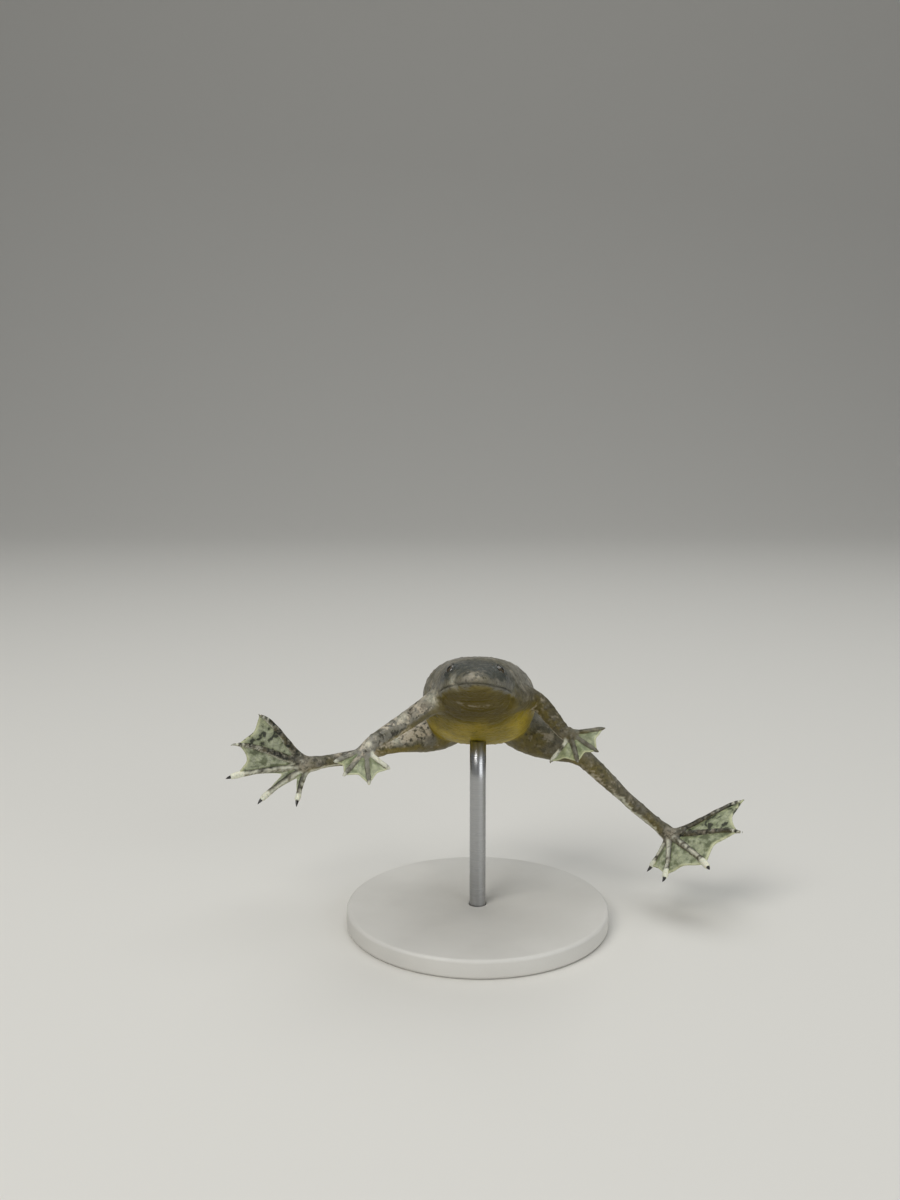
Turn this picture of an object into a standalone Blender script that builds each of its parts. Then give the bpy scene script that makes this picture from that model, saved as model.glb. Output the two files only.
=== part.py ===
"""African dwarf frog with its limbs spread wide, life size, held up by a plain display stand.

Lengths are in millimetres up to the point where a mesh is made, which turns them into metres.
World axes: the frog faces -Y, its left side is +X, up is +Z, and the stand's underside lies on Z = 0.
Body axes: x towards the frog's left, y from the snout tip back to the vent, z towards the back.
"""

import math

import bmesh
import bpy
import numpy as np
from mathutils import Euler, Matrix, Vector

MM = 0.001

# Gap between neighbouring pieces
GAP = 0.3

# Angle between faces, in degrees, above which an edge is shaded sharp
SHARP_ANGLE = 48.0

# Distances at which a joined mesh's slivers are merged, tried in this order
MERGE_DISTANCES = (0.002, 0.004, 0.007, 0.011, 0.016, 0.001)

# Body: snout to vent, its tilt and turn in degrees, and where its belly sits over the rod
BODY_LENGTH = 35.5
BODY_PITCH = 21.0
BODY_YAW = 3.2
BELLY_HEIGHT = 26.0
BELLY_STATION = 19.0
BELLY_DEPTH = 5.3
NECK_STATION = 9.6

# Stations along the body: distance behind the snout, half width, height above and depth below the axis
BODY_STATIONS = np.array(
    [
        (0.0, 0.0, 0.0, 0.0),
        (0.6, 1.45, 0.75, 0.60),
        (2.2, 2.60, 1.65, 1.20),
        (4.9, 3.95, 2.70, 2.00),
        (8.0, 4.85, 3.70, 3.05),
        (11.5, 5.75, 4.55, 4.10),
        (15.5, 6.95, 5.25, 5.10),
        (20.0, 7.65, 5.40, 5.75),
        (24.5, 7.20, 5.00, 5.60),
        (28.5, 5.80, 3.90, 4.45),
        (32.0, 3.80, 2.70, 3.00),
        (34.5, 1.90, 1.50, 1.60),
        (BODY_LENGTH, 0.0, 0.0, 0.0),
    ]
)

# Exponent of the rings' superellipse on the back and on the head, and where one passes into the other
BACK_SQUARENESS = 2.5
HEAD_SQUARENESS = 2.15
SQUARENESS_START = 6.0
SQUARENESS_RUN = 8.0

# Mouth: where its line ends behind the eye, how far it runs below the snout's tip, the slit and the lips
MOUTH_END = 7.4
MOUTH_DROP = 0.45
MOUTH_FADE = 1.2
DIP_HALF_ANGLE = 25.0
SLIT_DEPTH = 0.34
SLIT_HALF_ANGLE = 3.5
LIP_SWELL = 0.13
LIP_HALF_ANGLE = 10.0
LIP_SPREAD = 6.0

# Eyes, lids and nostrils, for the frog's left side
EYE_RADIUS = 0.95
EYE_CENTRE = (2.75, 4.7, 1.48)
EYE_LOOK = (0.68, -0.36, 0.64)
BULGE_RADIUS = 1.44
BULGE_SINK = 0.38
LID_RADIUS = 1.22
LID_THICKNESS = 0.16
LID_LIFT = 0.30
NOSTRIL_CENTRE = (0.72, 0.95, 1.1)
NOSTRIL_RADIUS = 0.25
NOSTRIL_DEPTH = 0.5

# Limb segment lengths and radii, the same on both sides
UPPER_ARM = 6.5
FOREARM = 6.2
PALM = 1.6
THIGH = 12.8
SHANK = 12.5
TARSUS = 6.5
INSTEP = 2.0
SHOULDER = (4.6, 10.5, -0.9)
LIMB_FLATNESS = 0.94
LIMB_RING_STEP = 1.2
ARM_RADII = ((0.0, 1.55), (0.2, 1.35), (0.5, 1.15), (0.62, 1.12), (0.8, 0.98), (1.0, 0.78))
LEG_RADII = (
    (0.0, 1.1),
    (0.02, 1.8),
    (0.05, 2.25),
    (0.12, 2.5),
    (0.20, 2.35),
    (0.29, 1.85),
    (0.36, 1.45),
    (0.41, 1.3),
    (0.50, 1.25),
    (0.58, 1.15),
    (0.69, 0.95),
    (0.79, 0.95),
    (0.87, 0.86),
    (1.0, 1.0),
)
ELBOW_ROUNDING = 2.0
KNEE_ROUNDING = 2.3
WRIST_ROUNDING = 0.9
ANKLE_ROUNDING = 1.7
INSTEP_ROUNDING = 1.6

# Digits, from the inner one outwards: length from the wrist or instep, root radius and tip radius
FINGERS = ((4.8, 0.40, 0.27), (6.2, 0.44, 0.27), (6.4, 0.44, 0.27), (6.1, 0.42, 0.27))
TOES = ((7.2, 0.46, 0.36), (10.3, 0.55, 0.38), (13.2, 0.60, 0.40), (13.6, 0.66, 0.27), (12.6, 0.62, 0.27))
DIGIT_FLATNESS = 0.95
TIP_ROUNDING = 0.6
TIP_CORE = 0.30

# Palm and instep: half width and half height at either end, and where the digits' roots lie in them
PALM_SIZES = {"hand": ((0.75, 0.66), (0.95, 0.40)), "foot": ((0.95, 0.80), (1.15, 0.42))}
ROOT_REACH = {"hand": 1.2, "foot": 1.5}
ROOT_SPACING = {"hand": 0.34, "foot": 0.36}

# How a digit's line leaves the palm and bows: shares of its length, and the strength of the bow
LEAVE_SHARE = 0.3
LEAVE_MIDDLE = 0.35
ARRIVE_SHARE = 0.35
BOW_STRENGTH = 2.2

# Claws: share of the radius and drop of the hook at four places from root to point
CLAWED_TOES = 3
CLAW_LENGTH = 1.15
CLAW_RADIUS = 0.29
CLAW_TAPER = (1.0, 0.85, 0.55, 0.12)
CLAW_HOOK = (0.0, 0.02, 0.08, 0.2)

# Webs: how far along the digits they reach, and how deeply the free edge is notched
WEB_HALF_THICKNESS = 0.25
HAND_WEB_REACH = 0.90
HAND_WEB_NOTCH = 0.14
TOE_WEB_REACH = (0.80, 0.84, 0.86, 0.90, 0.97)
TOE_BOW = (0.0, 0.3, 0.35, 0.7, 0.9)

# Pose: each segment's direction as degrees round from +X towards +Y, and degrees above the horizontal
POSE = {
    "right": {
        "arm": ((172.0, -36.0), (-126.5, -11.0)),
        "leg": ((-137.5, 0.0), (121.5, -22.5), (-137.5, 4.0)),
        "fingers": ((-46.0, -34.5), (-90.0, -46.5), (-128.0, -30.0), (-143.0, -14.5)),
        "toes": ((-119.0, -44.0), (-148.0, -26.0), (-157.5, -3.5), (-150.0, 19.0), (-142.0, 43.0)),
        "hip": (3.2, 30.0, -2.7),
        "thigh_fullness": 1.0,
        "web_notch": (0.62, 0.55, 0.14, 0.09),
    },
    "left": {
        "arm": ((58.0, -10.0), (-42.0, -40.5)),
        "leg": ((-32.0, -14.5), (26.0, -43.5), (5.5, -40.5)),
        "fingers": ((-133.0, -49.5), (-74.5, -27.0), (-46.5, -13.5), (-26.5, 12.5)),
        "toes": ((-125.0, -37.5), (-101.5, -23.5), (-73.0, -4.5), (-46.5, 13.5), (-16.5, 28.0)),
        "hip": (3.2, 30.0, -1.5),
        "thigh_fullness": 1.28,
        "web_notch": (0.04, 0.08, 0.15, 0.13),
    },
}

# Stand: a round foot with one upright rod under the belly
BASE_RADIUS = 18.0
BASE_THICKNESS = 2.6
BASE_CHAMFER = 0.5
ROD_RADIUS = 1.1
ROD_SINK = 1.4

# Colours, roughness and metallic value of each finish
FINISHES = {
    "mottled_skin": ((0.13, 0.115, 0.10), 0.45, 0.0),
    "belly_skin": ((0.17, 0.145, 0.09), 0.45, 0.0),
    "web_skin": ((0.35, 0.38, 0.32), 0.40, 0.0),
    "eye": ((0.012, 0.011, 0.012), 0.08, 0.0),
    "claw": ((0.010, 0.010, 0.011), 0.30, 0.0),
    "stand_base": ((0.62, 0.61, 0.59), 0.45, 0.0),
    "stand_rod": ((0.55, 0.55, 0.56), 0.30, 1.0),
}


def clear_scene():
    """Removes every object, so that the scene holds only the model."""
    for obj in list(bpy.data.objects):
        bpy.data.objects.remove(obj, do_unlink=True)


def unit(vector):
    """The vector scaled to length 1."""
    vector = np.asarray(vector, float)
    return vector / np.linalg.norm(vector)


def heading(azimuth, elevation):
    """Unit vector for an azimuth round from +X and an elevation, both in degrees."""
    a, e = math.radians(azimuth), math.radians(elevation)
    return np.array([math.cos(a) * math.cos(e), math.sin(a) * math.cos(e), math.sin(e)])


def finish(name):
    """The Principled material of that name, made once."""
    if name in bpy.data.materials:
        return bpy.data.materials[name]
    colour, roughness, metallic = FINISHES[name]
    material = bpy.data.materials.new(name)
    material.use_nodes = True
    shader = material.node_tree.nodes["Principled BSDF"]
    shader.inputs["Base Color"].default_value = (*colour, 1.0)
    shader.inputs["Roughness"].default_value = roughness
    shader.inputs["Metallic"].default_value = metallic
    return material


def spline(stations, at):
    """Catmull-Rom curve through the stations, read at fractional station numbers.

    Each end is continued by its mirror image in the axis, so that it closes round.
    """
    flip = np.array([1.0, -1.0, -1.0, -1.0])
    before = stations[1] * flip
    after = stations[-2] * flip
    after[0] = 2 * stations[-1, 0] - stations[-2, 0]
    points = np.vstack([before, stations, after])
    index = np.clip(np.floor(at).astype(int), 0, len(stations) - 2)
    t = (np.asarray(at) - index)[:, None]
    a, b, c, d = (points[index + k] for k in range(4))
    return 0.5 * (2 * b + (c - a) * t + (2 * a - 5 * b + 4 * c - d) * t**2 + (3 * b - a - 3 * c + d) * t**3)


def station_at(distance):
    """The fractional station number at a distance behind the snout."""
    numbers = np.linspace(0, len(BODY_STATIONS) - 1, 600)
    return float(np.interp(distance, spline(BODY_STATIONS, numbers)[:, 0], numbers))


def body_matrix():
    """Places body axes in the world, with the belly's lowest line over the rod."""
    turn = Euler((math.radians(-BODY_PITCH), 0, math.radians(-BODY_YAW))).to_matrix().to_4x4()
    belly = turn @ Vector((0, BELLY_STATION, -BELLY_DEPTH))
    return Matrix.Translation(Vector((0, 0, BELLY_HEIGHT)) - belly) @ turn


def body_point(point):
    """World position, in millimetres, of a point in body axes."""
    return np.array(body_matrix() @ Vector(point))


def to_world(points):
    """World positions of an array of points in body axes."""
    matrix = np.array(body_matrix())
    return points @ matrix[:3, :3].T + matrix[:3, 3]


def shade(mesh):
    """Smooth shading, with edges left sharp where faces meet at more than the sharp angle."""
    mesh.shade_smooth()
    mesh.set_sharp_from_angle(angle=math.radians(SHARP_ANGLE))


def add_object(name, points, faces, material):
    """A mesh object from points in millimetres, with its origin at the middle of them."""
    points = np.asarray(points, float)
    middle = (points.min(0) + points.max(0)) / 2
    mesh = bpy.data.meshes.new(name)
    mesh.from_pydata(((points - middle) * MM).tolist(), [], faces)
    mesh.materials.append(finish(material))
    obj = bpy.data.objects.new(name, mesh)
    obj.location = Vector(middle * MM)
    bpy.context.scene.collection.objects.link(obj)
    bm = bmesh.new()
    bm.from_mesh(mesh)
    bmesh.ops.recalc_face_normals(bm, faces=bm.faces)
    bmesh.ops.triangulate(bm, faces=bm.faces)
    bm.to_mesh(mesh)
    bm.free()
    shade(mesh)
    bpy.context.view_layer.update()
    return obj


def loft(name, rings, material, first_pole=None, last_pole=None):
    """A closed skin over rings of equal size, each end closed by a pole or by a flat cap."""
    count, sides = rings.shape[:2]
    points = list(rings.reshape(-1, 3))
    faces = []
    for i in range(count - 1):
        for j in range(sides):
            k = (j + 1) % sides
            faces.append((i * sides + j, i * sides + k, (i + 1) * sides + k, (i + 1) * sides + j))
    for pole, start in ((first_pole, 0), (last_pole, (count - 1) * sides)):
        if pole is None:
            pole = rings[0 if start == 0 else -1].mean(0)
        points.append(pole)
        for j in range(sides):
            faces.append((start + j, start + (j + 1) % sides, len(points) - 1))
    return add_object(name, points, faces, material)


def rounded_path(corners, roundings, step):
    """Points along straight runs joined by rounded corners, and the arc length at each corner's middle."""
    corners = [np.asarray(c, float) for c in corners]
    points = [corners[0]]
    middles = []
    for previous, corner, following, cut in zip(corners, corners[1:], corners[2:], roundings):
        back, ahead = unit(previous - corner), unit(following - corner)
        half = math.acos(float(back @ ahead)) / 2
        centre = corner + unit(back + ahead) * cut / math.cos(half)
        start, end = corner + back * cut - centre, corner + ahead * cut - centre
        sweep = math.pi - 2 * half
        t = np.linspace(0, 1, 17)[:, None]
        arc = centre + (start * np.sin((1 - t) * sweep) + end * np.sin(t * sweep)) / math.sin(sweep)
        middles.append(len(points) + 8)
        points.extend(arc)
    points.append(corners[-1])
    points = np.array(points)
    run = np.concatenate([[0], np.cumsum(np.linalg.norm(np.diff(points, axis=0), axis=1))])
    fine = np.arange(0, run[-1], step)
    fine = np.append(fine, run[-1])
    even = np.stack([np.interp(fine, run, points[:, k]) for k in range(3)], axis=1)
    return even, [run[m] for m in middles]


def tangents(path):
    """Unit direction of a path at each of its points."""
    slope = np.gradient(path, axis=0)
    return slope / np.linalg.norm(slope, axis=1)[:, None]


def tube_rings(path, widths, heights, normal, sides, tangent=None):
    """Rings along a path, each an ellipse whose height lies along the normal as nearly as it can."""
    tangent = tangents(path) if tangent is None else tangent
    across = np.cross(tangent, normal)
    across /= np.linalg.norm(across, axis=1)[:, None]
    up = np.cross(across, tangent)
    turn = np.linspace(0, 2 * math.pi, sides, endpoint=False)
    side = across[:, None] * (np.cos(turn)[None, :, None] * np.asarray(widths)[:, None, None])
    rise = up[:, None] * (np.sin(turn)[None, :, None] * np.asarray(heights)[:, None, None])
    return path[:, None] + side + rise


def sample_path(path, start, end, count):
    """Evenly spaced points between two arc lengths, their share of the whole path and their directions."""
    run = np.concatenate([[0], np.cumsum(np.linalg.norm(np.diff(path, axis=0), axis=1))])
    at = np.linspace(start, end, count)
    both = np.hstack([path, tangents(path)])
    both = np.stack([np.interp(at, run, both[:, k]) for k in range(6)], axis=1)
    return both[:, :3], at / run[-1], both[:, 3:] / np.linalg.norm(both[:, 3:], axis=1)[:, None]


def join(obj, others, operation="UNION", solver="EXACT"):
    """Joins or cuts a mesh with others by one Boolean, applies it, and keeps the largest closed surface."""
    group = bpy.data.collections.new("joined")
    for other in others:
        group.objects.link(other)
    modifier = obj.modifiers.new("join", "BOOLEAN")
    modifier.operation = operation
    modifier.solver = solver
    modifier.operand_type = "COLLECTION"
    modifier.collection = group
    bpy.context.view_layer.update()
    graph = bpy.context.evaluated_depsgraph_get()
    made = bpy.data.meshes.new_from_object(obj.evaluated_get(graph))
    obj.modifiers.remove(modifier)
    obj.data = made
    for other in others:
        bpy.data.objects.remove(other, do_unlink=True)
    bpy.data.collections.remove(group)
    tidy(obj)
    return obj


def largest_shell(bm):
    """Deletes all but the largest connected surface."""
    unseen = set(bm.faces)
    shells = []
    while unseen:
        stack = [unseen.pop()]
        shell = list(stack)
        while stack:
            for edge in stack.pop().edges:
                fresh = [f for f in edge.link_faces if f in unseen]
                unseen.difference_update(fresh)
                stack.extend(fresh)
                shell.extend(fresh)
        shells.append(shell)
    shells.sort(key=lambda faces: sum(f.calc_area() for f in faces))
    scraps = [f for shell in shells[:-1] for f in shell]
    bmesh.ops.delete(bm, geom=scraps, context="FACES")


def tidy(obj):
    """Keeps the largest connected surface of a mesh, as clean triangles with one material.

    Booleans leave slivers. They are merged away at the first of a few distances that keeps it closed.
    """
    for distance in MERGE_DISTANCES:
        bm = bmesh.new()
        bm.from_mesh(obj.data)
        bmesh.ops.remove_doubles(bm, verts=bm.verts, dist=distance * MM)
        bmesh.ops.dissolve_degenerate(bm, edges=bm.edges, dist=distance * MM)
        bmesh.ops.triangulate(bm, faces=bm.faces)
        largest_shell(bm)
        closed = all(len(edge.link_faces) == 2 for edge in bm.edges)
        if closed or distance == MERGE_DISTANCES[-1]:
            for face in bm.faces:
                face.material_index = 0
            bm.to_mesh(obj.data)
            bm.free()
            shade(obj.data)
            return
        bm.free()


def body_rings(first, last, count, angles, lips=False):
    """Rings of the head and trunk between two stations, in world millimetres.

    Each ring is a superellipse with its own height above and depth below the axis. With lips, the mouth's
    line is cut into the sides as a slit between two swollen lips, fading out behind the eye.
    """
    numbers = np.linspace(first, last, count)
    profile = spline(BODY_STATIONS, numbers)
    along, width, top, bottom = (profile[:, k][:, None] for k in range(4))
    share = np.clip((along - SQUARENESS_START) / SQUARENESS_RUN, 0, 1)
    power = 2.0 / (HEAD_SQUARENESS + (BACK_SQUARENESS - HEAD_SQUARENESS) * share)
    turn = np.radians(angles)[None, :]
    x = width * np.sign(np.cos(turn)) * np.abs(np.cos(turn)) ** power
    rise = np.sign(np.sin(turn)) * np.abs(np.sin(turn)) ** power
    z = np.where(rise > 0, top, bottom) * rise
    y = along + 0 * x
    if lips:
        from_side = np.abs((angles + 90.0) % 180.0 - 90.0)[None, :]
        blunt = np.clip(1 - along / MOUTH_FADE, 0, 1)
        fade = np.clip((MOUTH_END - along) / MOUTH_FADE, 0, 1) * (1 - 0.7 * blunt)
        slit = np.clip(1 - from_side / SLIT_HALF_ANGLE, 0, 1) * SLIT_DEPTH
        lip = np.exp(-(((from_side - LIP_HALF_ANGLE) / LIP_SPREAD) ** 2)) * LIP_SWELL
        dip = MOUTH_DROP * np.clip(along / MOUTH_FADE, 0, 1)
        z = z - dip * np.exp(-((from_side / DIP_HALF_ANGLE) ** 2))
        x = x + np.sign(np.cos(turn)) * (lip - slit) * fade
        y = y - (0.3 * lip - 0.8 * slit) * blunt
    return to_world(np.stack([x, y, z], axis=2))


def even_angles(count):
    """Angles round a ring, in degrees from the frog's left side, evenly spaced."""
    return np.linspace(0, 360, count, endpoint=False)


def mouth_angles():
    """Angles round a head ring, with extra ones close to the mouth's line on both sides."""
    near = np.array([0.0, SLIT_HALF_ANGLE, LIP_HALF_ANGLE, 18.0, 30.0])
    side = np.concatenate([near, [44, 58, 74], [90]])
    quarter = np.concatenate([side, 180 - side[:-1][::-1]])
    return np.concatenate([quarter, 360 - quarter[1:-1][::-1]])


def grown_body():
    """The whole head and trunk swollen by the gap: what limbs and rod are cut back from."""
    rings = body_rings(0.25, len(BODY_STATIONS) - 1.25, 40, even_angles(40))
    ends = to_world(np.array([(0, 0, 0), (0, BODY_LENGTH, 0)], float))
    grown = loft("grown_body", rings, "mottled_skin", ends[0], ends[1])
    bm = bmesh.new()
    bm.from_mesh(grown.data)
    bm.normal_update()
    moves = [vert.normal * GAP * MM for vert in bm.verts]
    for vert, move in zip(bm.verts, moves):
        vert.co += move
    bm.to_mesh(grown.data)
    bm.free()
    return grown


def ball(name, centre, radius, material, rows=8, sides=14, axis=(0, 0, 1)):
    """A sphere in body axes, its poles along the axis."""
    turn = np.linspace(0, math.pi, rows + 2)[1:-1]
    around = np.linspace(0, 2 * math.pi, sides, endpoint=False)
    axis = unit(axis)
    first = unit(np.cross(axis, (0.0, 1.0, 0.3)))
    second = np.cross(axis, first)
    ring = first[None] * np.cos(around)[:, None] + second[None] * np.sin(around)[:, None]
    rings = np.cos(turn)[:, None, None] * axis + np.sin(turn)[:, None, None] * ring[None]
    rings = np.asarray(centre) + radius * rings
    poles = np.asarray(centre) + radius * np.array([axis, -axis])
    world = to_world(rings.reshape(-1, 3)).reshape(rings.shape)
    poles = to_world(poles)
    return loft(name, world, material, poles[0], poles[1])


def ring_round(name, centre, axis, radius, thickness, sides=18, around=7):
    """A torus in body axes, round the given axis."""
    axis = unit(axis)
    first = unit(np.cross(axis, (0.0, 1.0, 0.3)))
    second = np.cross(axis, first)
    turn = np.linspace(0, 2 * math.pi, sides, endpoint=False)
    out = first[None] * np.cos(turn)[:, None] + second[None] * np.sin(turn)[:, None]
    roll = np.linspace(0, 2 * math.pi, around, endpoint=False)
    section = out[:, None] * np.cos(roll)[None, :, None] + axis * np.sin(roll)[None, :, None]
    points = np.asarray(centre) + out[:, None] * radius + section * thickness
    faces = []
    for i in range(sides):
        for j in range(around):
            k, m = (i + 1) % sides, (j + 1) % around
            faces.append((i * around + j, i * around + m, k * around + m, k * around + j))
    return add_object(name, to_world(points.reshape(-1, 3)), faces, "mottled_skin")


def mirrored(point, side):
    """A point or direction given for the frog's left, turned over for its right."""
    return np.array([point[0] if side == "left" else -point[0], point[1], point[2]])


def build_head():
    """Head from snout to neck: mouth slit and lips in its surface, lids round the eye sockets, nostrils."""
    neck = station_at(NECK_STATION - GAP / 2)
    rings = body_rings(0.14, neck, 22, mouth_angles(), lips=True)
    tip = to_world(np.array([(0, SLIT_DEPTH / 2, 0)]))[0]
    head = loft("head", rings, "mottled_skin", tip)
    lids = []
    sockets = []
    for side in ("left", "right"):
        centre = mirrored(EYE_CENTRE, side)
        look = unit(mirrored(EYE_LOOK, side))
        lids.append(ball("bulge", centre - look * BULGE_SINK, BULGE_RADIUS, "mottled_skin", 9, 18, look))
        lids.append(ring_round("lid", centre + look * LID_LIFT, look, LID_RADIUS, LID_THICKNESS))
        sockets.append(ball("socket", centre, EYE_RADIUS + GAP, "mottled_skin", 9, 16, look))
        nostril = mirrored(NOSTRIL_CENTRE, side)
        sink = unit(mirrored((-0.25, 0.45, -1.0), side))
        line = nostril - sink * 0.6 + np.array([0.0, 0.6 + NOSTRIL_DEPTH])[:, None] * sink
        world = to_world(line)
        radii = np.full(2, NOSTRIL_RADIUS)
        sockets.append(loft("nostril", tube_rings(world, radii, radii, (1.0, 0, 0), 8), "mottled_skin"))
    join(head, lids)
    join(head, sockets, "DIFFERENCE")
    for side in ("left", "right"):
        centre = mirrored(EYE_CENTRE, side)
        ball(f"eye_{side}", centre, EYE_RADIUS, "eye", 9, 16, mirrored(EYE_LOOK, side))


def build_torso():
    """Trunk from neck to vent, flat over the back and full in the belly."""
    neck = station_at(NECK_STATION + GAP / 2)
    rings = body_rings(neck, len(BODY_STATIONS) - 1.3, 22, even_angles(30))
    vent = to_world(np.array([(0, BODY_LENGTH, 0)], float))[0]
    loft("torso", rings, "belly_skin", None, vent)


def limb(side, name, root, directions, lengths, roundings, radii, names, fan_normal):
    """One limb as a bent tube parted at its joints. Returns its path and where its hand or foot starts.

    The first part's root runs into the trunk and is cut back from it by the gap.
    """
    corners = [root]
    for direction, length in zip(directions, lengths):
        corners.append(corners[-1] + direction * length)
    path, middles = rounded_path(corners, roundings, 0.1)
    cuts = [0.0, *middles]
    place, size = np.array(radii).T
    for k, part in enumerate(names):
        start = cuts[k] + (GAP / 2 if k else 0.0)
        end = cuts[k + 1] - GAP / 2
        points, share, along = sample_path(path, start, end, max(6, round((end - start) / LIMB_RING_STEP)))
        thick = np.interp(share, place, size)
        if part == "thigh":
            thick = thick * POSE[side]["thigh_fullness"]
        sides = 12 if name == "arm" else 14
        rings = tube_rings(points, thick, thick * LIMB_FLATNESS, fan_normal, sides, along)
        piece = loft(f"{part}_{side}", rings, "mottled_skin")
        if k == 0:
            join(piece, [grown_body()], "DIFFERENCE")
    return path, cuts[-1] + GAP / 2


def digit_path(root, middle, tip, bow, count):
    """A digit's centre line: out of the palm along the middle direction, then bowed on to its own tip."""
    length = np.linalg.norm(tip - root)
    direction = (tip - root) / length
    near = root + (middle * LEAVE_MIDDLE + direction * (1 - LEAVE_MIDDLE)) * length * LEAVE_SHARE
    far = tip - direction * length * ARRIVE_SHARE + (bow - direction * (bow @ direction)) * BOW_STRENGTH
    t = np.linspace(0, 1, count)[:, None]
    u = 1 - t
    return u**3 * root + 3 * u * u * t * near + 3 * u * t * t * far + t**3 * tip


def web_sheet(name, paths, reaches, notches, normal, columns, rows):
    """The web as one closed sheet over all digits, its free edge notched in between each two.

    Both faces are split into the same triangles, so that they keep their distance where the web twists.
    """
    lanes = []
    for k in range(len(paths) - 1):
        last = k == len(paths) - 2
        for a in np.linspace(0, 1, columns + 1)[: None if last else -1]:
            reach = (reaches[k] * (1 - a) + reaches[k + 1] * a) * (1 - notches[k] * math.sin(math.pi * a) ** 0.8)
            at = np.linspace(0.04, reach, rows)
            spots = []
            for path in (paths[k], paths[k + 1]):
                share = np.linspace(0, 1, len(path))
                spots.append(np.stack([np.interp(at, share, path[:, m]) for m in range(3)], axis=1))
            lanes.append(spots[0] * (1 - a) + spots[1] * a)
    middle = np.array(lanes)
    slope = np.cross(np.gradient(middle, axis=0), np.gradient(middle, axis=1))
    slope[:, 0] = slope[:, 1]
    slope /= np.maximum(np.linalg.norm(slope, axis=2)[..., None], 1e-9)
    slope *= np.sign(slope @ normal)[..., None]
    wide, deep = middle.shape[:2]
    top = (middle + slope * WEB_HALF_THICKNESS).reshape(-1, 3)
    under = (middle - slope * WEB_HALF_THICKNESS).reshape(-1, 3)
    base = len(top)
    faces = []
    for i in range(wide - 1):
        for j in range(deep - 1):
            a, b = i * deep + j, (i + 1) * deep + j
            faces.extend([(a, b, b + 1), (a, b + 1, a + 1)])
            faces.extend([(base + a, base + b + 1, base + b), (base + a, base + a + 1, base + b + 1)])
    rim = [i * deep for i in range(wide)]
    rim += [(wide - 1) * deep + j for j in range(1, deep)]
    rim += [i * deep + deep - 1 for i in range(wide - 2, -1, -1)]
    rim += [j for j in range(deep - 2, 0, -1)]
    for a, b in zip(rim, rim[1:] + rim[:1]):
        faces.extend([(a, base + a, base + b), (a, base + b, b)])
    return add_object(name, np.vstack([top, under]), faces, "web_skin")


def fan_frame(directions, side):
    """Middle direction of a fan of digits, and the normal on the side of the knuckles."""
    middle = unit(np.mean(directions[1:4], axis=0))
    normal = unit(np.cross(directions[0], directions[-1]))
    return middle, normal if side == "right" else -normal


def build_extremity(side, kind, path, start, directions, digits, reaches, notches):
    """A hand or foot: a flat palm, tapered digits and the web between them, fused into one body."""
    middle, normal = fan_frame(directions, side)
    run = np.linalg.norm(np.diff(path, axis=0), axis=1).sum()
    points, _, along = sample_path(path, start, run, 6)
    wrist = path[-1] - middle * (PALM if kind == "hand" else INSTEP)
    across = unit(np.cross(normal, middle))
    across *= np.sign(across @ (directions[-1] - directions[0]))
    foot = kind == "foot"
    wide, flat = np.linspace(*PALM_SIZES[kind], 6).T
    palm = loft(f"{kind}_{side}", tube_rings(points, wide, flat, normal, 12, along), "mottled_skin")
    pieces = []
    paths = []
    for number, ((length, thick, thin), direction) in enumerate(zip(digits, directions), start=1):
        clawed = foot and number <= CLAWED_TOES
        place = number - (len(digits) + 1) / 2
        root = wrist + middle * ROOT_REACH[kind] + across * place * ROOT_SPACING[kind]
        tip = wrist + direction * length
        line = digit_path(root, middle, tip, across * (TOE_BOW[number - 1] if foot else 0.0), 40)
        length = np.linalg.norm(np.diff(line, axis=0), axis=1).sum()
        paths.append(line)
        flesh = length - (CLAW_LENGTH + GAP if clawed else 0.0)
        spine, share, _ = sample_path(line, 0.0, flesh, 10)
        thickness = thick + (thin - thick) * share
        end = 1 - (np.clip(share - share[-1] + TIP_ROUNDING / length, 0, 1) * length / TIP_ROUNDING) ** 2
        thickness = thickness * np.sqrt(TIP_CORE + (1 - TIP_CORE) * end)
        rings = tube_rings(spine, thickness, thickness * DIGIT_FLATNESS, normal, 8)
        pieces.append(loft("digit", rings, "mottled_skin"))
        if clawed:
            bare, _, _ = sample_path(line, length - CLAW_LENGTH, length, 4)
            sharp = CLAW_RADIUS * np.array(CLAW_TAPER)
            hook = -normal * np.array(CLAW_HOOK)[:, None]
            loft(f"claw_{side}_{number}", tube_rings(bare + hook, sharp, sharp, normal, 8), "claw")
    pieces.append(web_sheet("web", paths, reaches, notches, normal, 6 if foot else 4, 7))
    join(palm, pieces)


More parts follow.
